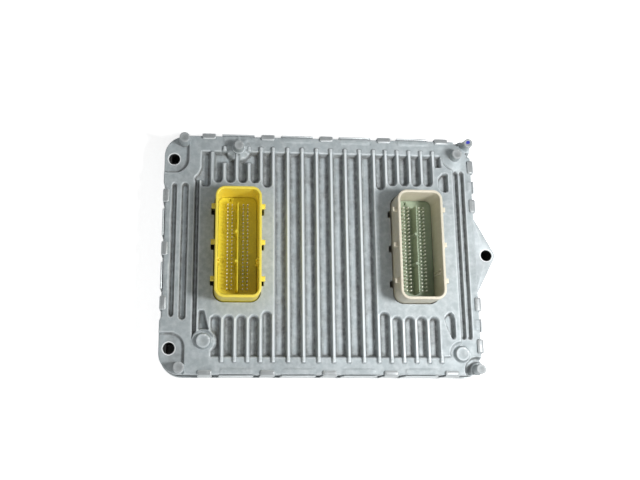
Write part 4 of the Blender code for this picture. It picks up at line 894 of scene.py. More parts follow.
def plastic_finish(name, base, gloss, warm):
    """Moulded plastic: slight cloudiness, a little flow along the draw, and a fine spark-eroded grain."""
    finish = Finish(name, base, gloss)
    clouds = finish.between(finish.noise(85.0, 3.0), 0.3, 0.7)
    body = finish.blend(clouds, darker(base, 0.93), base)
    streaks = finish.between(finish.noise(1.0, 2.0, 0.5, finish.stretched((700.0, 700.0, 60.0))), 0.45, 0.75)
    finish.feed("Base Color", finish.blend(finish.times(streaks, 0.3), body, warm))
    finish.feed("Roughness", finish.between(finish.noise(900.0, 2.0), 0.3, 0.7, gloss - 0.06, gloss + 0.08))
    finish.bump(finish.noise(3200.0, 2.0), 0.18, 0.03 * MM)
    return finish.material


def pin_finish():
    """Tinned copper alloy, slightly uneven."""
    colours = bpy.context.scene.ecu_colours
    finish = Finish("tinned_pins", colours.pin, 0.28, 0.3)
    tone = finish.between(finish.noise(500.0, 3.0), 0.3, 0.7)
    finish.feed("Base Color", finish.blend(tone, darker(colours.pin, 0.8), darker(colours.pin, 1.15)))
    finish.feed("Roughness", finish.between(finish.noise(1500.0, 2.0), 0.3, 0.7, 0.2, 0.4))
    finish.bump(finish.noise(5000.0, 2.0), 0.1, 0.01 * MM)
    return finish.material


def inner_finish(name, base, roughness, metallic, scale, contrast):
    """A plain inner material: a mottled tone and a grain of its own scale."""
    finish = Finish(name, base, roughness, metallic)
    tone = finish.between(finish.noise(scale * 0.2, 3.0), 0.3, 0.7)
    finish.feed("Base Color", finish.blend(tone, darker(base, 1.0 - contrast), darker(base, 1.0 + contrast)))
    low, high = roughness * 0.85, min(1.0, roughness * 1.15)
    finish.feed("Roughness", finish.between(finish.noise(scale * 0.5, 2.0), 0.3, 0.7, low, high))
    finish.bump(finish.noise(scale, 2.0), 0.2, 0.03 * MM)
    return finish.material


# Pieces

class ECU_OT_cast_lid(bpy.types.Operator):
    """Make the cast lid: its top as a height over the plan, and walls that hang below its borders"""

    bl_idname = "ecu.cast_lid"
    bl_label = "Cast lid"

    def execute(self, context):
        """Build the skin on an uneven grid, pull its border onto the outlines, and close it below."""
        lid = context.scene.ecu_lid
        plan = LidPlan(lid)
        x, y = self.grid(lid, plan)
        inside = plan.border((x[1:, 1:] + x[:-1, :-1]) / 2, (y[1:, 1:] + y[:-1, :-1]) / 2) < 0
        kept = np.zeros(x.shape, int)
        gone = np.zeros(x.shape, int)
        for rows in (slice(0, -1), slice(1, None)):
            for columns in (slice(0, -1), slice(1, None)):
                kept[rows, columns] += inside
                gone[rows, columns] += ~inside
        rim = (kept > 0) & ((gone > 0) | (kept + gone < 4))
        for _ in range(3):
            value, nx, ny = self.slope(plan, x[rim], y[rim])
            x[rim] -= value * nx
            y[rim] -= value * ny
        z = plan.height(x, y)
        used = kept > 0
        number = np.full(x.shape, -1)
        number[used] = np.arange(used.sum())
        top = np.stack([x[used], y[used], z[used]], -1)
        quads = quads_of(number)[inside]
        points, faces = self.walls(lid, plan, top, quads)
        piece = new_piece("cast_lid", points, faces, ["housing_lid"], cast_finish(), 50.0)
        self.close_roof(piece, lid.roof)
        return {"FINISHED"}

    def grid(self, lid, plan):
        """Grid lines close together across every slope and wide apart on flat ground."""
        slope = np.array(SLOPE_LINES) * lid.draft
        marks_x = []
        for line in plan.ribs:
            for side in (-1, 1):
                marks_x += list(line + side * (lid.rib_width / 2 + slope))
        for x0, x1, _, _ in plan.side_channels():
            marks_x += list(x0 + slope * 0.85) + list(x1 - slope * 0.85)
        marks_x += [YELLOW_X, GREY_X]
        marks_x = spread(marks_x, GRID_NEAREST)
        edge_x = plan.half_x - lid.edge_round
        edge_y = plan.half_y - lid.edge_round
        marks_x += [-edge_x]
        xs = ruled((-edge_x - lid.lug_bulge, *GRID_X, edge_x), GRID_STEPS_X, marks_x)
        marks_y = []
        for end in (lid.channel_end, -lid.channel_end):
            marks_y += list(end - np.sign(end) * slope)
        marks_y += [side * (lid.rib_end + 0.3 * MM * i) for side in (-1, 1) for i in (-1, 0, 1, 2)]
        for i in (-1, 0, 1):
            slot = HEADER_Y + i * bpy.context.scene.ecu_header.tab_pitch
            marks_y += [slot - 2.5 * MM, slot + 2.5 * MM]
        for edge, middle, half in bars():
            if edge in ("left", "right"):
                marks_y += [middle - half, middle + half]
        ys = ruled((-edge_y, *GRID_Y, edge_y), GRID_STEPS_Y, spread(marks_y, GRID_NEAREST))
        return np.meshgrid(xs, ys)

    def slope(self, plan, x, y):
        """The border's value and its direction, by small differences."""
        step = 0.01 * MM
        value = plan.border(x, y)
        gx = (plan.border(x + step, y) - plan.border(x - step, y)) / (2 * step)
        gy = (plan.border(x, y + step) - plan.border(x, y - step)) / (2 * step)
        size = np.maximum(np.hypot(gx, gy), 0.5)
        return value, gx / size, gy / size

    def walls(self, lid, plan, top, quads):
        """Hang a wall below every border: the outer one round the foot and up inside, the rest down."""
        edges = np.concatenate([quads[:, [0, 1]], quads[:, [1, 2]], quads[:, [2, 3]], quads[:, [3, 0]]])
        key = np.sort(edges, 1)
        _, first, count = np.unique(key, axis=0, return_index=True, return_counts=True)
        border = edges[first[count == 1]]
        ring = np.unique(border)
        place = np.full(len(top), -1)
        place[ring] = np.arange(len(ring))
        x, y, z = top[ring].T
        _, nx, ny = self.slope(plan, x, y)
        outer = plan.outline(x, y) > -2 * lid.edge_round
        below = np.where(outer, -plan.flat_side(x, y), 0.0)
        hole = plan.holes(x, y) < 2 * lid.hole_round
        radius = np.where(outer, lid.edge_round, np.where(hole, lid.hole_round, lid.opening_round))
        rows = [(radius * math.sin(angle), z - radius * (1 - math.cos(angle)))
                for angle in np.radians([22.0, 45.0, 68.0, 90.0])]
        rows.append((radius, np.where(outer, lid.flange, lid.roof + 1.5 * MM)))
        for drawn_in, height, above in (
                (0.0, lid.flange - 0.8 * MM, 1.2 * MM),
                (0.0, lid.foot + 0.5 * MM, 0.9 * MM),
                (0.4 * MM, lid.foot, 0.6 * MM),
                (lid.wall, lid.foot, 0.3 * MM),
                (lid.wall, lid.roof, 0.0)):
            offset = np.where(outer, below - drawn_in, radius)
            rows.append((offset, np.where(outer, height, lid.roof + above)))
        points = [top]
        faces = quads.tolist()
        previous = ring
        start = len(top)
        a, b = place[border[:, 0]], place[border[:, 1]]
        for offset, height in rows:
            points.append(np.stack([x + offset * nx, y + offset * ny, height], -1))
            current = start + np.arange(len(ring))
            faces += np.stack([previous[b], previous[a], current[a], current[b]], -1).tolist()
            previous = current
            start += len(ring)
        return np.concatenate(points), faces

    def close_roof(self, piece, roof):
        """Fill the flat roof of the cavity between its outline, the header openings and the holes."""
        shell = bmesh.new()
        shell.from_mesh(piece.data)
        loose = [edge for edge in shell.edges if edge.is_boundary]
        if not loose or any(abs(vert.co.z - roof) > 0.01 * MM for edge in loose for vert in edge.verts):
            raise RuntimeError("the lid's walls don't end at the roof")
        made = bmesh.ops.triangle_fill(shell, edges=loose, use_beauty=False, normal=(0.0, 0.0, -1.0))
        for face in made["geom"]:
            if isinstance(face, bmesh.types.BMFace):
                face.smooth = False
        bmesh.ops.recalc_face_normals(shell, faces=shell.faces)
        shell.to_mesh(piece.data)
        shell.free()


def post_profile(radius, taper, root, top, flare, ground):
    """Radius and height of a post: a concave flare at the ground, a drafted side and a softly rounded top."""
    foot = radius + taper
    profile = [(HAIR, root), (foot + flare, root)]
    angle = np.radians(np.linspace(90.0, 0.0, 6))
    profile += [(foot + flare * (1 - math.sin(a)) + HAIR, ground + flare * (1 - math.cos(a)))
                for a in angle[::-1]]
    rounding = 0.3 * MM
    profile += [(radius - rounding + rounding * math.sin(a), top - rounding + rounding * math.cos(a))
                for a in np.radians([90.0, 65.0, 40.0, 18.0])]
    dish = top - POST_DISH
    profile += [(radius - 1.2 * MM, top), (radius - 1.5 * MM, dish), (HAIR, dish)]
    return profile


class ECU_OT_ejector_posts(bpy.types.Operator):
    """Make the ejector posts as turned surfaces with flared feet"""

    bl_idname = "ecu.ejector_posts"
    bl_label = "Ejector posts"

    def execute(self, context):
        """One closed shell for each post."""
        lid = context.scene.ecu_lid
        plan = LidPlan(lid)
        top = lid.band + lid.post_top
        shells = Shells()
        cx, cy = plan.corner_post
        lx, ly = plan.left_post
        # middle, then radius and taper in mm, ground, top, and flare in mm
        places = [
            (cx, cy, 2.9, 0.25, lid.band, top, 0.3),
            (cx, -cy, 2.9, 0.25, lid.band, top, 0.3),
            (lx, ly, 3.2, 0.3, plan.lug_top, top, 0.3),
            (lx, -ly, 3.2, 0.3, plan.lug_top, top, 0.3),
            (*plan.second_post, 3.1, 0.4, lid.band + 1.4 * MM, top, 0.9),
            (*plan.fin_post, 2.9, 0.5, lid.band + 3.0 * MM, top, 0.6),
            (*plan.big_left, 4.1, 0.7, lid.band, lid.band + 3.0 * MM, 0.9),
            (*plan.big_right, 4.1, 0.7, lid.band, lid.band + 3.0 * MM, 0.9),
        ]
        for x, y, radius, taper, ground, high, flare in places:
            radius, taper, flare = radius * MM, taper * MM, flare * MM
            profile = post_profile(radius, taper, ground - 1.2 * MM, high, flare, ground - 0.03 * MM)
            shells.rings(turned(x, y, profile))
        shells.piece("ejector_posts", "housing_lid", "cast_aluminium", cast_material(), 50.0)
        return {"FINISHED"}


class ECU_OT_mounting_lugs(bpy.types.Operator):
    """Make the mounting ear and the three bosses that reach down to the mounting plane"""

    bl_idname = "ecu.mounting_lugs"
    bl_label = "Mounting lugs"

    def execute(self, context):
        """The ear is a section carried round its hole; each boss is a turned ring."""
        lid = context.scene.ecu_lid
        plan = LidPlan(lid)
        shells = Shells()
        tip, half_span = EAR_TIP, EAR_HALF_SPAN
        ear_x = LID_HIGH.x - tip
        reach = ear_x - plan.half_x
        swing = math.atan2(half_span, -reach) - math.acos(tip / math.hypot(reach, half_span))
        root = math.pi - math.atan2(half_span, reach + 1.0 * MM)
        angle = np.unique(np.concatenate([np.linspace(-math.pi, math.pi, 121)[:-1],
                                          [swing, -swing, root, -root]]))
        along = np.abs(angle)
        edge = np.where(along < swing, tip, tip / np.maximum(np.cos(along - swing), 0.05))
        back = np.where(np.cos(angle) < -0.05, (reach + 1.0 * MM) / np.maximum(-np.cos(angle), 0.05), 1.0)
        edge = np.minimum(edge, back)
        hole, low, high = lid.hole_radius, plan.lug_top - EAR_DEPTH, plan.lug_top
        soft, lip = 0.9 * MM, 0.4 * MM
        upper = arc(90.0, 0.0, soft)
        section = [(0, hole, low + lip), (0, hole, high - lip), (0, hole + lip * 0.3, high - lip * 0.3),
                   (0, hole + lip, high)]
        section += [(1, -soft + c, high - soft + s) for c, s in upper]
        section += [(1, -soft + c, low + soft - s) for c, s in upper[::-1]]
        section += [(0, hole + lip, low)]
        rings = np.empty((len(section), len(angle), 3))
        for i, (at_edge, offset, height) in enumerate(section):
            radius = edge * at_edge + offset
            rings[i] = np.stack([ear_x + radius * np.cos(angle), radius * np.sin(angle),
                                 np.full(len(angle), height)], -1)
        shells.rings(rings, loop=True)
        self.boss(shells, ear_x, 0.0, tip, hole, low + 0.6 * MM, None)
        for side in (-1, 1):
            self.boss(shells, plan.lug[0], side * plan.lug[1], BOSS, hole, lid.roof, lid.lug_x - 0.05 * MM)
        shells.piece("mounting_lugs", "housing_lid", "cast_aluminium", cast_material(), 50.0)
        return {"FINISHED"}

    def boss(self, shells, cx, cy, radius, hole, high, flat):
        """A ring from the mounting plane up to a height, cut flat on its left where a plane passes."""
        soft = 0.4 * MM
        section = [(hole, high), (hole, soft), (hole + soft * 0.4, soft * 0.3), (hole + soft, 0.0),
                   (radius - soft, 0.0), (radius - soft * 0.3, soft * 0.3), (radius, soft), (radius, high)]
        rings = turned(cx, cy, section, 56)
        if flat:
            rings[:, :, 0] = np.maximum(rings[:, :, 0], cx - flat)
        shells.rings(rings, loop=True)


class ECU_OT_crimped_tray(bpy.types.Operator):
    """Make the pressed tray: a pan with a rolled rim, standing bars, and tabs folded over the lid's band"""

    bl_idname = "ecu.crimped_tray"
    bl_label = "Crimped tray"

    def execute(self, context):
        """The pan is a section carried round the outline; bars and tabs are strips of sheet."""
        tray = context.scene.ecu_tray
        lid = context.scene.ecu_lid
        plan = LidPlan(lid)
        shells = Shells()
        shells.rings(self.pan(tray, lid, plan))
        for edge, middle, half in bars():
            self.strip(shells, plan, tray, edge, middle, half, self.upright(tray, lid), tray.sheet / 2)
        for edge, middle in tabs():
            self.strip(shells, plan, tray, edge, middle, tray.tab_width / 2, self.folded(tray, lid),
                       TAB_ROUND)
        piece = shells.piece("crimped_tray", "base_tray", "pressed_aluminium", sheet_finish(), 40.0)
        self.notch(piece, plan)
        return {"FINISHED"}

    def pan(self, tray, lid, plan):
        """Floor, bend and low rim: the lid's outline moved out, with the sheet's thickness as a section."""
        radii = [lid.corner_right] * 2 + [lid.corner_left] * 2
        points, normals = corners(plan.half_x, plan.half_y, radii, 16)
        inner, outer = tray.gap, tray.gap + tray.sheet
        bend, lip, margin = 1.6 * MM, tray.sheet / 2, outer - 6.0 * MM
        section = [(margin, 0.0)]
        section += [(outer - bend + c, bend + s) for c, s in arc(-90.0, 0.0, bend, 6)]
        section += [(outer - lip + c, tray.rim - lip + s) for c, s in arc(0.0, 180.0, lip, 6)]
        inside = bend - tray.sheet
        section += [(inner - inside + c, bend + s) for c, s in arc(0.0, -90.0, inside)]
        section += [(margin, tray.sheet)]
        return carried(np.concatenate(points), np.concatenate(normals), section)

    def upright(self, tray, lid):
        """Middle line of a standing bar: distance outwards from the lid's side, and height."""
        middle = tray.gap + tray.sheet / 2
        heights = np.linspace(tray.rim - 2.0 * MM, lid.band - tray.bar_drop, 6)
        return np.stack([np.full(6, middle), heights], -1)

    def folded(self, tray, lid):
        """Middle line of a crimp tab: up the side, round the fold, and in over the band."""
        middle = tray.gap + tray.sheet / 2
        over = lid.band + tray.gap + tray.sheet / 2
        rise = np.linspace(tray.rim - 2.0 * MM, over - tray.bend, 6)
        fold = arc(0.0, 90.0, tray.bend, 6)
        tip = tray.gap + tray.sheet - tray.tab_reach + TAB_ROUND
        line = [(middle, height) for height in rise]
        line += [(middle - tray.bend + c, over - tray.bend + s) for c, s in fold[1:]]
        line += [(middle - tray.bend + (tip - middle + tray.bend) * i / 3, over) for i in (1, 2, 3)]
        return np.array(line)

    def strip(self, shells, plan, tray, edge, middle, half, line, soft):
        """A strip of sheet along one side: its middle line thickened to a rounded section, carried along."""
        tangent = np.gradient(line, axis=0)
        tangent /= np.linalg.norm(tangent, axis=1)[:, None]
        normal = np.stack([tangent[:, 1], -tangent[:, 0]], -1)
        end = tray.sheet / 2
        turn = np.radians([90.0, 65.0, 40.0, 18.0, 0.0])
        along = np.concatenate([-half + soft * (1 - np.sin(turn)), half - soft * (1 - np.sin(turn[::-1]))])
        thick = np.maximum(np.concatenate([np.cos(turn), np.cos(turn[::-1])]), 0.01) * end
        tips = np.radians(np.linspace(90.0, -90.0, 5)[1:-1])
        rings = []
        for u, t in zip(along, thick):
            tip = [line[-1] + t * math.sin(a) * normal[-1]
                   + soft * t / end * math.cos(a) * tangent[-1] for a in tips]
            ring = np.concatenate([line + t * normal, tip, (line - t * normal)[::-1]])
            rings.append(self.placed(plan, edge, middle + u, ring))
        shells.rings(np.array(rings))

    def placed(self, plan, edge, u, ring):
        """Turn distance outwards and height into places on one side of the lid."""
        outwards, height = ring.T
        held = np.full(len(ring), u)
        if edge == "top":
            return np.stack([held, plan.half_y + outwards, height], -1)
        if edge == "bottom":
            return np.stack([held, -plan.half_y - outwards, height], -1)
        if edge == "left":
            return np.stack([-plan.half_x - outwards, held, height], -1)
        return np.stack([plan.half_x + outwards, held, height], -1)

    def notch(self, piece, plan):
        """Cut the pan away round the two corner bosses."""
        shells = Shells()
        round_end = np.array(arc(-90.0, 90.0, NOTCH, 32))
        open_end = np.array([(-PAST, NOTCH), (-PAST, -NOTCH)])
        for side in (-1, 1):
            path = np.concatenate([round_end, open_end]) + (plan.lug[0], side * plan.lug[1])
            shells.rings(np.stack([np.column_stack([path, np.full(len(path), height)])
                                   for height in (-3.0 * MM, 30.0 * MM)]))
        data = bpy.data.meshes.new("notch")
        data.from_pydata(np.concatenate(shells.points), [], shells.faces)
        cutter = bpy.data.objects.new("notch", data)
        bpy.context.scene.collection.objects.link(cutter)
        modifier = piece.modifiers.new("notch", "BOOLEAN")
        modifier.operation = "DIFFERENCE"
        modifier.solver = "EXACT"
        modifier.use_self = True
        modifier.object = cutter
        graph = bpy.context.evaluated_depsgraph_get()
        result = bpy.data.meshes.new_from_object(piece.evaluated_get(graph))
        piece.modifiers.clear()
        piece.data = result
        bpy.data.objects.remove(cutter, do_unlink=True)


class ECU_OT_plug_headers(bpy.types.Operator):
    """Make both plug headers: shroud, side tabs and keying ribs"""

    bl_idname = "ecu.plug_headers"
    bl_label = "Plug headers"

    def execute(self, context):
        """A wall section carried round each header's outline, with small moulded blocks on it."""
        sizes = context.scene.ecu_header
        colours = context.scene.ecu_colours
        yellow = plastic_finish("yellow_plastic", colours.yellow, 0.36, colours.yellow_warm)
        grey = plastic_finish("grey_plastic", colours.grey, 0.42, colours.grey_warm)
        self.header("yellow", sizes, sizes.key_yellow, yellow)
        self.header("grey", sizes, sizes.key_grey, grey)
        return {"FINISHED"}

    def header(self, name, sizes, key, finish):
        """One header."""
        low, high = HEADERS[name]
        middle = (low.x + high.x) / 2
        half_w = (high.x - low.x) / 2 - sizes.collar
        half_l = (high.y - low.y) / 2 - sizes.collar
        points, normals = oblong(half_w, half_l, sizes.corner, 10, 16)
        points = points + (middle, HEADER_Y)
        collar_top = low.z + COLLAR_HEIGHT
        soft, wall = sizes.rim_round, sizes.wall
        section = [(sizes.collar, low.z), (sizes.collar, collar_top - 0.3 * MM),
                   (sizes.collar - 0.3 * MM, collar_top),
                   (0.35 * MM, collar_top), (0.1 * MM, collar_top + 0.1 * MM), (0.0, collar_top + 0.4 * MM)]
        rim = arc(0.0, 90.0, soft)
        section += [(0.0, HEADER_TOP - 8.0 * MM)]
        section += [(-soft + c, HEADER_TOP - soft + s) for c, s in rim]
        section += [(-wall + soft - c, HEADER_TOP - soft + s) for c, s in rim[::-1]]
        section += [(-wall, HEADER_TOP - 8.0 * MM), (-wall, low.z)]
        shells = Shells()
        shells.rings(carried(points, normals, section), loop=True)
        tab_top = HEADER_TOP - sizes.tab_drop
        for side in (-1, 1):
            for i in (-1, 0, 1):
                reach = sizes.tab_reach + 0.4 * MM
                self.block(shells, middle + side * (half_w + sizes.tab_reach - reach / 2),
                           HEADER_Y + i * sizes.tab_pitch, reach / 2, sizes.tab_length / 2,
                           tab_top - sizes.tab_height, tab_top, 0.4 * MM)
            for step in (-KEYING_STEP, KEYING_STEP):
                self.block(shells, middle + side * (half_w - wall - 0.25 * MM), HEADER_Y + key + step,
                           *KEYING_RIB, HEADER_TOP - KEYING_SPAN[0], HEADER_TOP - KEYING_SPAN[1], 0.3 * MM)
        shells.piece(f"{name}_shroud", f"{name}_header", f"{name}_plastic", finish, 42.0)

    def block(self, shells, cx, cy, half_w, half_l, low, high, soft):
        """A small block with rounded edges: its outline drawn in towards the top and the bottom."""
        points, normals = oblong(half_w, half_l, soft, 4, 3)
        round_off = 0.9 * soft
        edge = arc(0.0, 90.0, round_off, 3)
        section = [(-round_off + c, low + round_off - s) for c, s in edge[::-1]]
        section += [(-round_off + c, high - round_off + s) for c, s in edge]
        shells.rings(carried(points + (cx, cy), normals, section))


class ECU_OT_pin_fields(bpy.types.Operator):
    """Make the contact carriers with their spines, and the pins that stand on them"""

    bl_idname = "ecu.pin_fields"
    bl_label = "Pin fields"

    def execute(self, context):
        """Each carrier is a height over the bore; the pins are one small tapered shape repeated by arrays."""
        sizes = context.scene.ecu_header
        colours = context.scene.ecu_colours
        pins = pin_finish()
        for name, base in (("yellow", colours.yellow_floor), ("grey", colours.grey_floor)):
            floor = plastic_finish(f"{name}_carrier_plastic", base, 0.45, darker(base, 1.25))
            self.carrier(name, sizes, floor)
            self.pins(name, sizes, pins)
        return {"FINISHED"}

    def carrier(self, name, sizes, finish):
        """The carrier's top: flat, with a thin spine, two small bumps on it and a blind index hole."""
        low, high = CONTACTS[name]
        cx, cy = (low.x + high.x) / 2, (low.y + high.y) / 2
        top = HEADER_TOP - sizes.floor
        ends = (low.y + SPINE_ENDS[0], high.y - SPINE_ENDS[1])
        bumps = (cy + SPINE_BUMPS[0], cy - SPINE_BUMPS[1])
        xs = ruled((low.x, high.x), (0.5 * MM,),
                   [cx + s * d * MM for s in (-1, 1) for d in (0.28, 0.36, 0.56)])
        marks = [end + d * MM for end in ends for d in (-0.25, 0.0, 0.25)]
        marks += [bump + d * MM for bump in bumps for d in (-1.5, -1.0, -0.5, 0.0, 0.5, 1.0, 1.5)]
        ys = ruled((low.y, high.y), (0.8 * MM,), marks)
        x, y = np.meshgrid(xs, ys)
        corner = sizes.corner - sizes.wall - 0.3 * MM
        outline = box_distance(x, y, low.x, high.x, low.y, high.y, corner)
        away_x = np.maximum(np.abs(x - cx) - (high.x - low.x) / 2 + corner, TINY)
        away_y = np.maximum(np.abs(y - cy) - (high.y - low.y) / 2 + corner, TINY)
        size = np.hypot(away_x, away_y)
        pull = np.maximum(outline, 0.0)
        x = x - np.sign(x - cx) * pull * away_x / size
        y = y - np.sign(y - cy) * pull * away_y / size
        z = np.full(x.shape, top)
        spine = box_distance(x, y, cx - SPINE_HALF, cx + SPINE_HALF, *ends, 0.2 * MM)
        for bump in bumps:
            spine = union(spine, (np.abs(x - cx + 0.8 * MM) + np.abs(y - bump) - 1.3 * MM) / 1.41)
        z = lift(z, spine, top + sizes.spine, 0.22 * MM, 0.3)
        z = sink(z, disc_distance(x, y, cx - 4.6 * MM, high.y - 1.9 * MM, 0.75 * MM), top - 2.0 * MM,
                 0.3 * MM, 0.3)
        rows, columns = x.shape
        number = np.arange(rows * columns).reshape(rows, columns)
        faces = quads_of(number).reshape(-1, 4)
        points = np.stack([x, y, z], -1).reshape(-1, 3)
        rim = np.concatenate([number[0, :], number[1:, -1], number[-1, -2::-1], number[-2:0:-1, 0]])
        foot = points[rim].copy()
        foot[:, 2] = low.z
        below = len(points) + np.arange(len(rim))
        walls = np.stack([rim, below, np.roll(below, -1), np.roll(rim, -1)], -1)
        faces = faces.tolist() + walls.tolist() + [below[::-1].tolist()]
        new_piece(f"{name}_carrier", np.concatenate([points, foot]), faces, [f"{name}_contacts"],
                  finish, 40.0)

    def pins(self, name, sizes, finish):
        """Square pins with tapered tips: one set of rings moved to every place at once."""
        low, high = CONTACTS[name]
        cx, cy = (low.x + high.x) / 2, (low.y + high.y) / 2
        top = HEADER_TOP - sizes.floor
        columns = np.array(PIN_COLUMNS) * MM
        rows = (np.arange(PIN_ROWS) - (PIN_ROWS - 1) / 2) * sizes.pin_pitch
        half = sizes.pin_size / 2
        rings = np.array([(half, top - 1.0 * MM), (half, top + sizes.pin_height - 1.1 * MM),
                          (half * 0.95, top + sizes.pin_height - 0.5 * MM),
                          (half * 0.7, top + sizes.pin_height)])
        square = np.array([(-1, -1), (1, -1), (1, 1), (-1, 1)], float)
        shape = np.empty((4, 4, 3))
        shape[:, :, :2] = rings[:, 0, None, None] * square[None]
        shape[:, :, 2] = rings[:, 1, None]
        places = np.array([(cx + c, cy + r, 0.0) for r in rows for c in columns])
        points = (places[:, None, None] + shape[None]).reshape(-1, 3)
        index = np.arange(16).reshape(4, 4)
        sides = np.stack([index[:-1], np.roll(index[:-1], -1, 1), np.roll(index[1:], -1, 1), index[1:]], -1)
        one = np.concatenate([sides.reshape(-1, 4), index[:1, ::-1], index[-1:]])
        faces = (np.arange(len(places))[:, None, None] * 16 + one[None]).reshape(-1, 4)
        new_piece(f"{name}_pins", points, faces.tolist(), [f"{name}_contacts"],
                  finish, 30.0)


class ECU_OT_paint_mark(bpy.types.Operator):
    """Put the dab of paint on the far right post"""

    bl_idname = "ecu.paint_mark"
    bl_label = "Paint mark"

    def execute(self, context):
        """A thin domed dab with an uneven edge."""
        lid = context.scene.ecu_lid
        plan = LidPlan(lid)
        top = lid.band + lid.post_top - POST_DISH
        cx, cy = plan.corner_post[0] - 0.3 * MM, plan.corner_post[1] + 0.6 * MM
        angle = np.linspace(0.0, 2 * math.pi, 40, endpoint=False)
        wobble = 1.0 + 0.08 * np.sin(2 * angle + 0.6) + 0.05 * np.sin(5 * angle)
        rings = []
        for radius, height in ((0.02, -0.1), (1.35, -0.1), (1.35, 0.01), (1.1, 0.05), (0.5, 0.08),
                               (0.02, 0.09)):
            reach = radius * MM * wobble
            rings.append(np.stack([cx + reach * np.cos(angle), cy + reach * np.sin(angle),
                                   np.full(40, top + height * MM)], -1))
        shells = Shells()
        shells.rings(np.array(rings))
        finish = inner_finish("blue_paint", context.scene.ecu_colours.paint, 0.35, 0.0, 900.0, 0.15)
        shells.piece("paint_mark", "housing_lid", "cast_aluminium", finish, 60.0)
        return {"FINISHED"}


INNER_FINISHES = {
    "silicone_rubber": ((0.045, 0.045, 0.05), 0.7, 0.0, 700.0, 0.12),
    "board_laminate": ((0.03, 0.16, 0.06), 0.4, 0.0, 450.0, 0.2),
    "black_epoxy": ((0.018, 0.018, 0.02), 0.5, 0.0, 1500.0, 0.15),
    "dark_ferrite": ((0.06, 0.06, 0.065), 0.6, 0.0, 900.0, 0.15),
    "bright_can": ((0.74, 0.75, 0.76), 0.28, 0.9, 600.0, 0.06),
    "zinc_plated_steel": ((0.60, 0.60, 0.57), 0.35, 0.9, 800.0, 0.1),
    "thermal_silicone": ((0.40, 0.45, 0.52), 0.8, 0.0, 500.0, 0.1),
}


class ECU_OT_inner_parts(bpy.types.Operator):
    """Give the board, its parts, the seals and the screws inside the housing their finishes"""

    bl_idname = "ecu.inner_parts"
    bl_label = "Inner parts"

    def execute(self, context):
        """Each node takes the finish of its material slot."""
        made = {name: inner_finish(name, *values) for name, values in INNER_FINISHES.items()}
        for entry in frame["record"]["subparts"]:
            node = frame["nodes"].get(entry["node"])
            if node and entry["material_slot"] in made:
                node.data.materials.clear()
                node.data.materials.append(made[entry["material_slot"]])
        return {"FINISHED"}


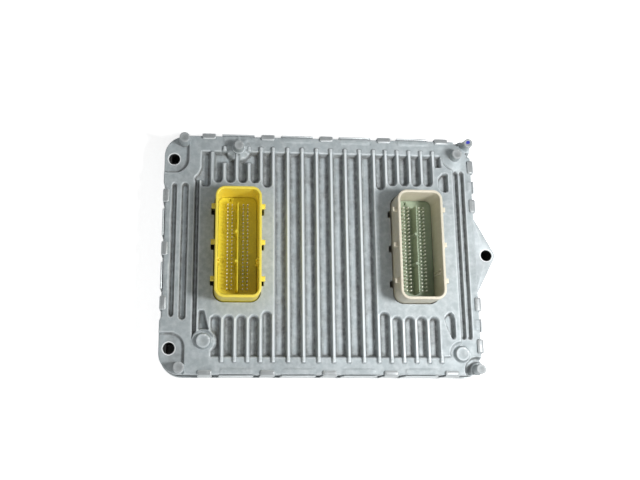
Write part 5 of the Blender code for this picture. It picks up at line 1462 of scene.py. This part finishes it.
class ECU_OT_stage(bpy.types.Operator):
    """Set up the floor, the surrounding light, two soft lamps and the camera"""

    bl_idname = "ecu.stage"
    bl_label = "Stage"

    def execute(self, context):
        """Nothing here belongs to the object."""
        stage = context.scene.ecu_stage
        self.floor(stage)
        self.world(stage)
        self.lamp("key_light", *KEY_LAMP, stage.key_power)
        self.lamp("fill_light", *FILL_LAMP, stage.fill_power)
        camera = bpy.data.objects.new("camera", bpy.data.cameras.new("camera"))
        context.scene.collection.objects.link(camera)
        camera.data.lens = stage.lens
        camera.data.sensor_width = 36.0
        camera.data.shift_x, camera.data.shift_y = stage.shift
        along = Vector(stage.view_along).normalized()
        right = along.cross(Vector(stage.view_up)).normalized()
        up = right.cross(along)
        turn = Matrix((right, up, -along)).transposed().to_4x4()
        camera.matrix_world = Matrix.Translation(Vector(stage.view_from)) @ turn
        context.scene.camera = camera
        context.scene.view_settings.view_transform = "Standard"
        return {"FINISHED"}

    def floor(self, stage):
        """A pale floor below the mounting plane, white to the camera and in mirrors but for the shadow."""
        data = bpy.data.meshes.new("floor")
        reach, level = 3.0, -0.1 * MM
        data.from_pydata([(-reach, -reach, level), (reach, -reach, level), (reach, reach, level),
                          (-reach, reach, level)], [], [(0, 1, 2, 3)])
        floor = bpy.data.objects.new("floor", data)
        bpy.context.scene.collection.objects.link(floor)
        finish = Finish("pale_floor", (0.93, 0.93, 0.93), 0.9)
        finish.inputs["Specular IOR Level"].default_value = 0.0
        finish.inputs["Emission Color"].default_value = (1.0, 1.0, 1.0, 1.0)
        glow = self.seen(finish.tree, 0.0, stage.floor_glow)
        # Painted shade: the floor's glow is taken away in a disc under each mounting hole, so the holes look
        # dark
        for centre in LidPlan(bpy.context.scene.ecu_lid).hole_axes():
            glow = finish.times(glow, finish.between(finish.away(centre), 4.0 * MM, 5.0 * MM))
        finish.feed("Emission Strength", glow)
        data.materials.append(finish.material)

    def world(self, stage):
        """White where the camera or a mirror-like surface looks, and a plain level as light."""
        world = bpy.data.worlds.new("surroundings")
        bpy.context.scene.world = world
        world.use_nodes = True
        tree = world.node_tree
        background = tree.nodes["Background"]
        tree.links.new(self.seen(tree, stage.ambient, 1.0), background.inputs["Strength"])
        background.inputs["Color"].default_value = (1.0, 1.0, 1.0, 1.0)

    def seen(self, tree, unseen, level):
        """One value for rays from the camera, a mirror-like surface or glass, and another for the rest."""
        value = add_node(tree, "LightPath", "Is Camera Ray", {})
        for kind in ("Is Glossy Ray", "Is Transmission Ray"):
            other = add_node(tree, "LightPath", kind, {})
            value = add_node(tree, "Math", "Value", {0: value, 1: other}, operation="MAXIMUM")
        return add_node(tree, "MapRange", "Result", {"Value": value, "To Min": unseen, "To Max": level})

    def lamp(self, name, place, size, power):
        """A square soft light aimed at the part."""
        data = bpy.data.lights.new(name, "AREA")
        data.size = size
        data.energy = power
        lamp = bpy.data.objects.new(name, data)
        bpy.context.scene.collection.objects.link(lamp)
        lamp.location = place
        lamp.rotation_euler = (-Vector(place)).to_track_quat("-Z", "Y").to_euler()


class ECU_PT_panel(bpy.types.Panel):
    """Lists the pieces of the control unit."""

    bl_label = "Control unit"
    bl_idname = "ECU_PT_panel"
    bl_space_type = "VIEW_3D"
    bl_region_type = "UI"
    bl_category = "Control unit"

    def draw(self, context):
        """One button for each operator."""
        for operator in OPERATORS:
            self.layout.operator(operator.bl_idname)


OPERATORS = (ECU_OT_cast_lid, ECU_OT_ejector_posts, ECU_OT_mounting_lugs, ECU_OT_crimped_tray,
             ECU_OT_plug_headers, ECU_OT_pin_fields, ECU_OT_paint_mark, ECU_OT_inner_parts, ECU_OT_stage)


def register():
    """Register the sizes, the operators and the panel."""
    for group in GROUPS.values():
        bpy.utils.register_class(group)
    for name, group in GROUPS.items():
        setattr(bpy.types.Scene, name, bpy.props.PointerProperty(type=group))
    for operator in OPERATORS:
        bpy.utils.register_class(operator)
    bpy.utils.register_class(ECU_PT_panel)


def unregister():
    """Take everything out again."""
    bpy.utils.unregister_class(ECU_PT_panel)
    for operator in reversed(OPERATORS):
        bpy.utils.unregister_class(operator)
    for name, group in GROUPS.items():
        delattr(bpy.types.Scene, name)
        bpy.utils.unregister_class(group)


def main():
    """Make every piece in order."""
    register()
    bpy.ops.ecu.stage()
    bpy.ops.ecu.cast_lid()
    bpy.ops.ecu.ejector_posts()
    bpy.ops.ecu.mounting_lugs()
    bpy.ops.ecu.crimped_tray()
    bpy.ops.ecu.plug_headers()
    bpy.ops.ecu.pin_fields()
    bpy.ops.ecu.paint_mark()
    bpy.ops.ecu.inner_parts()


if __name__ == "__main__":
    main()
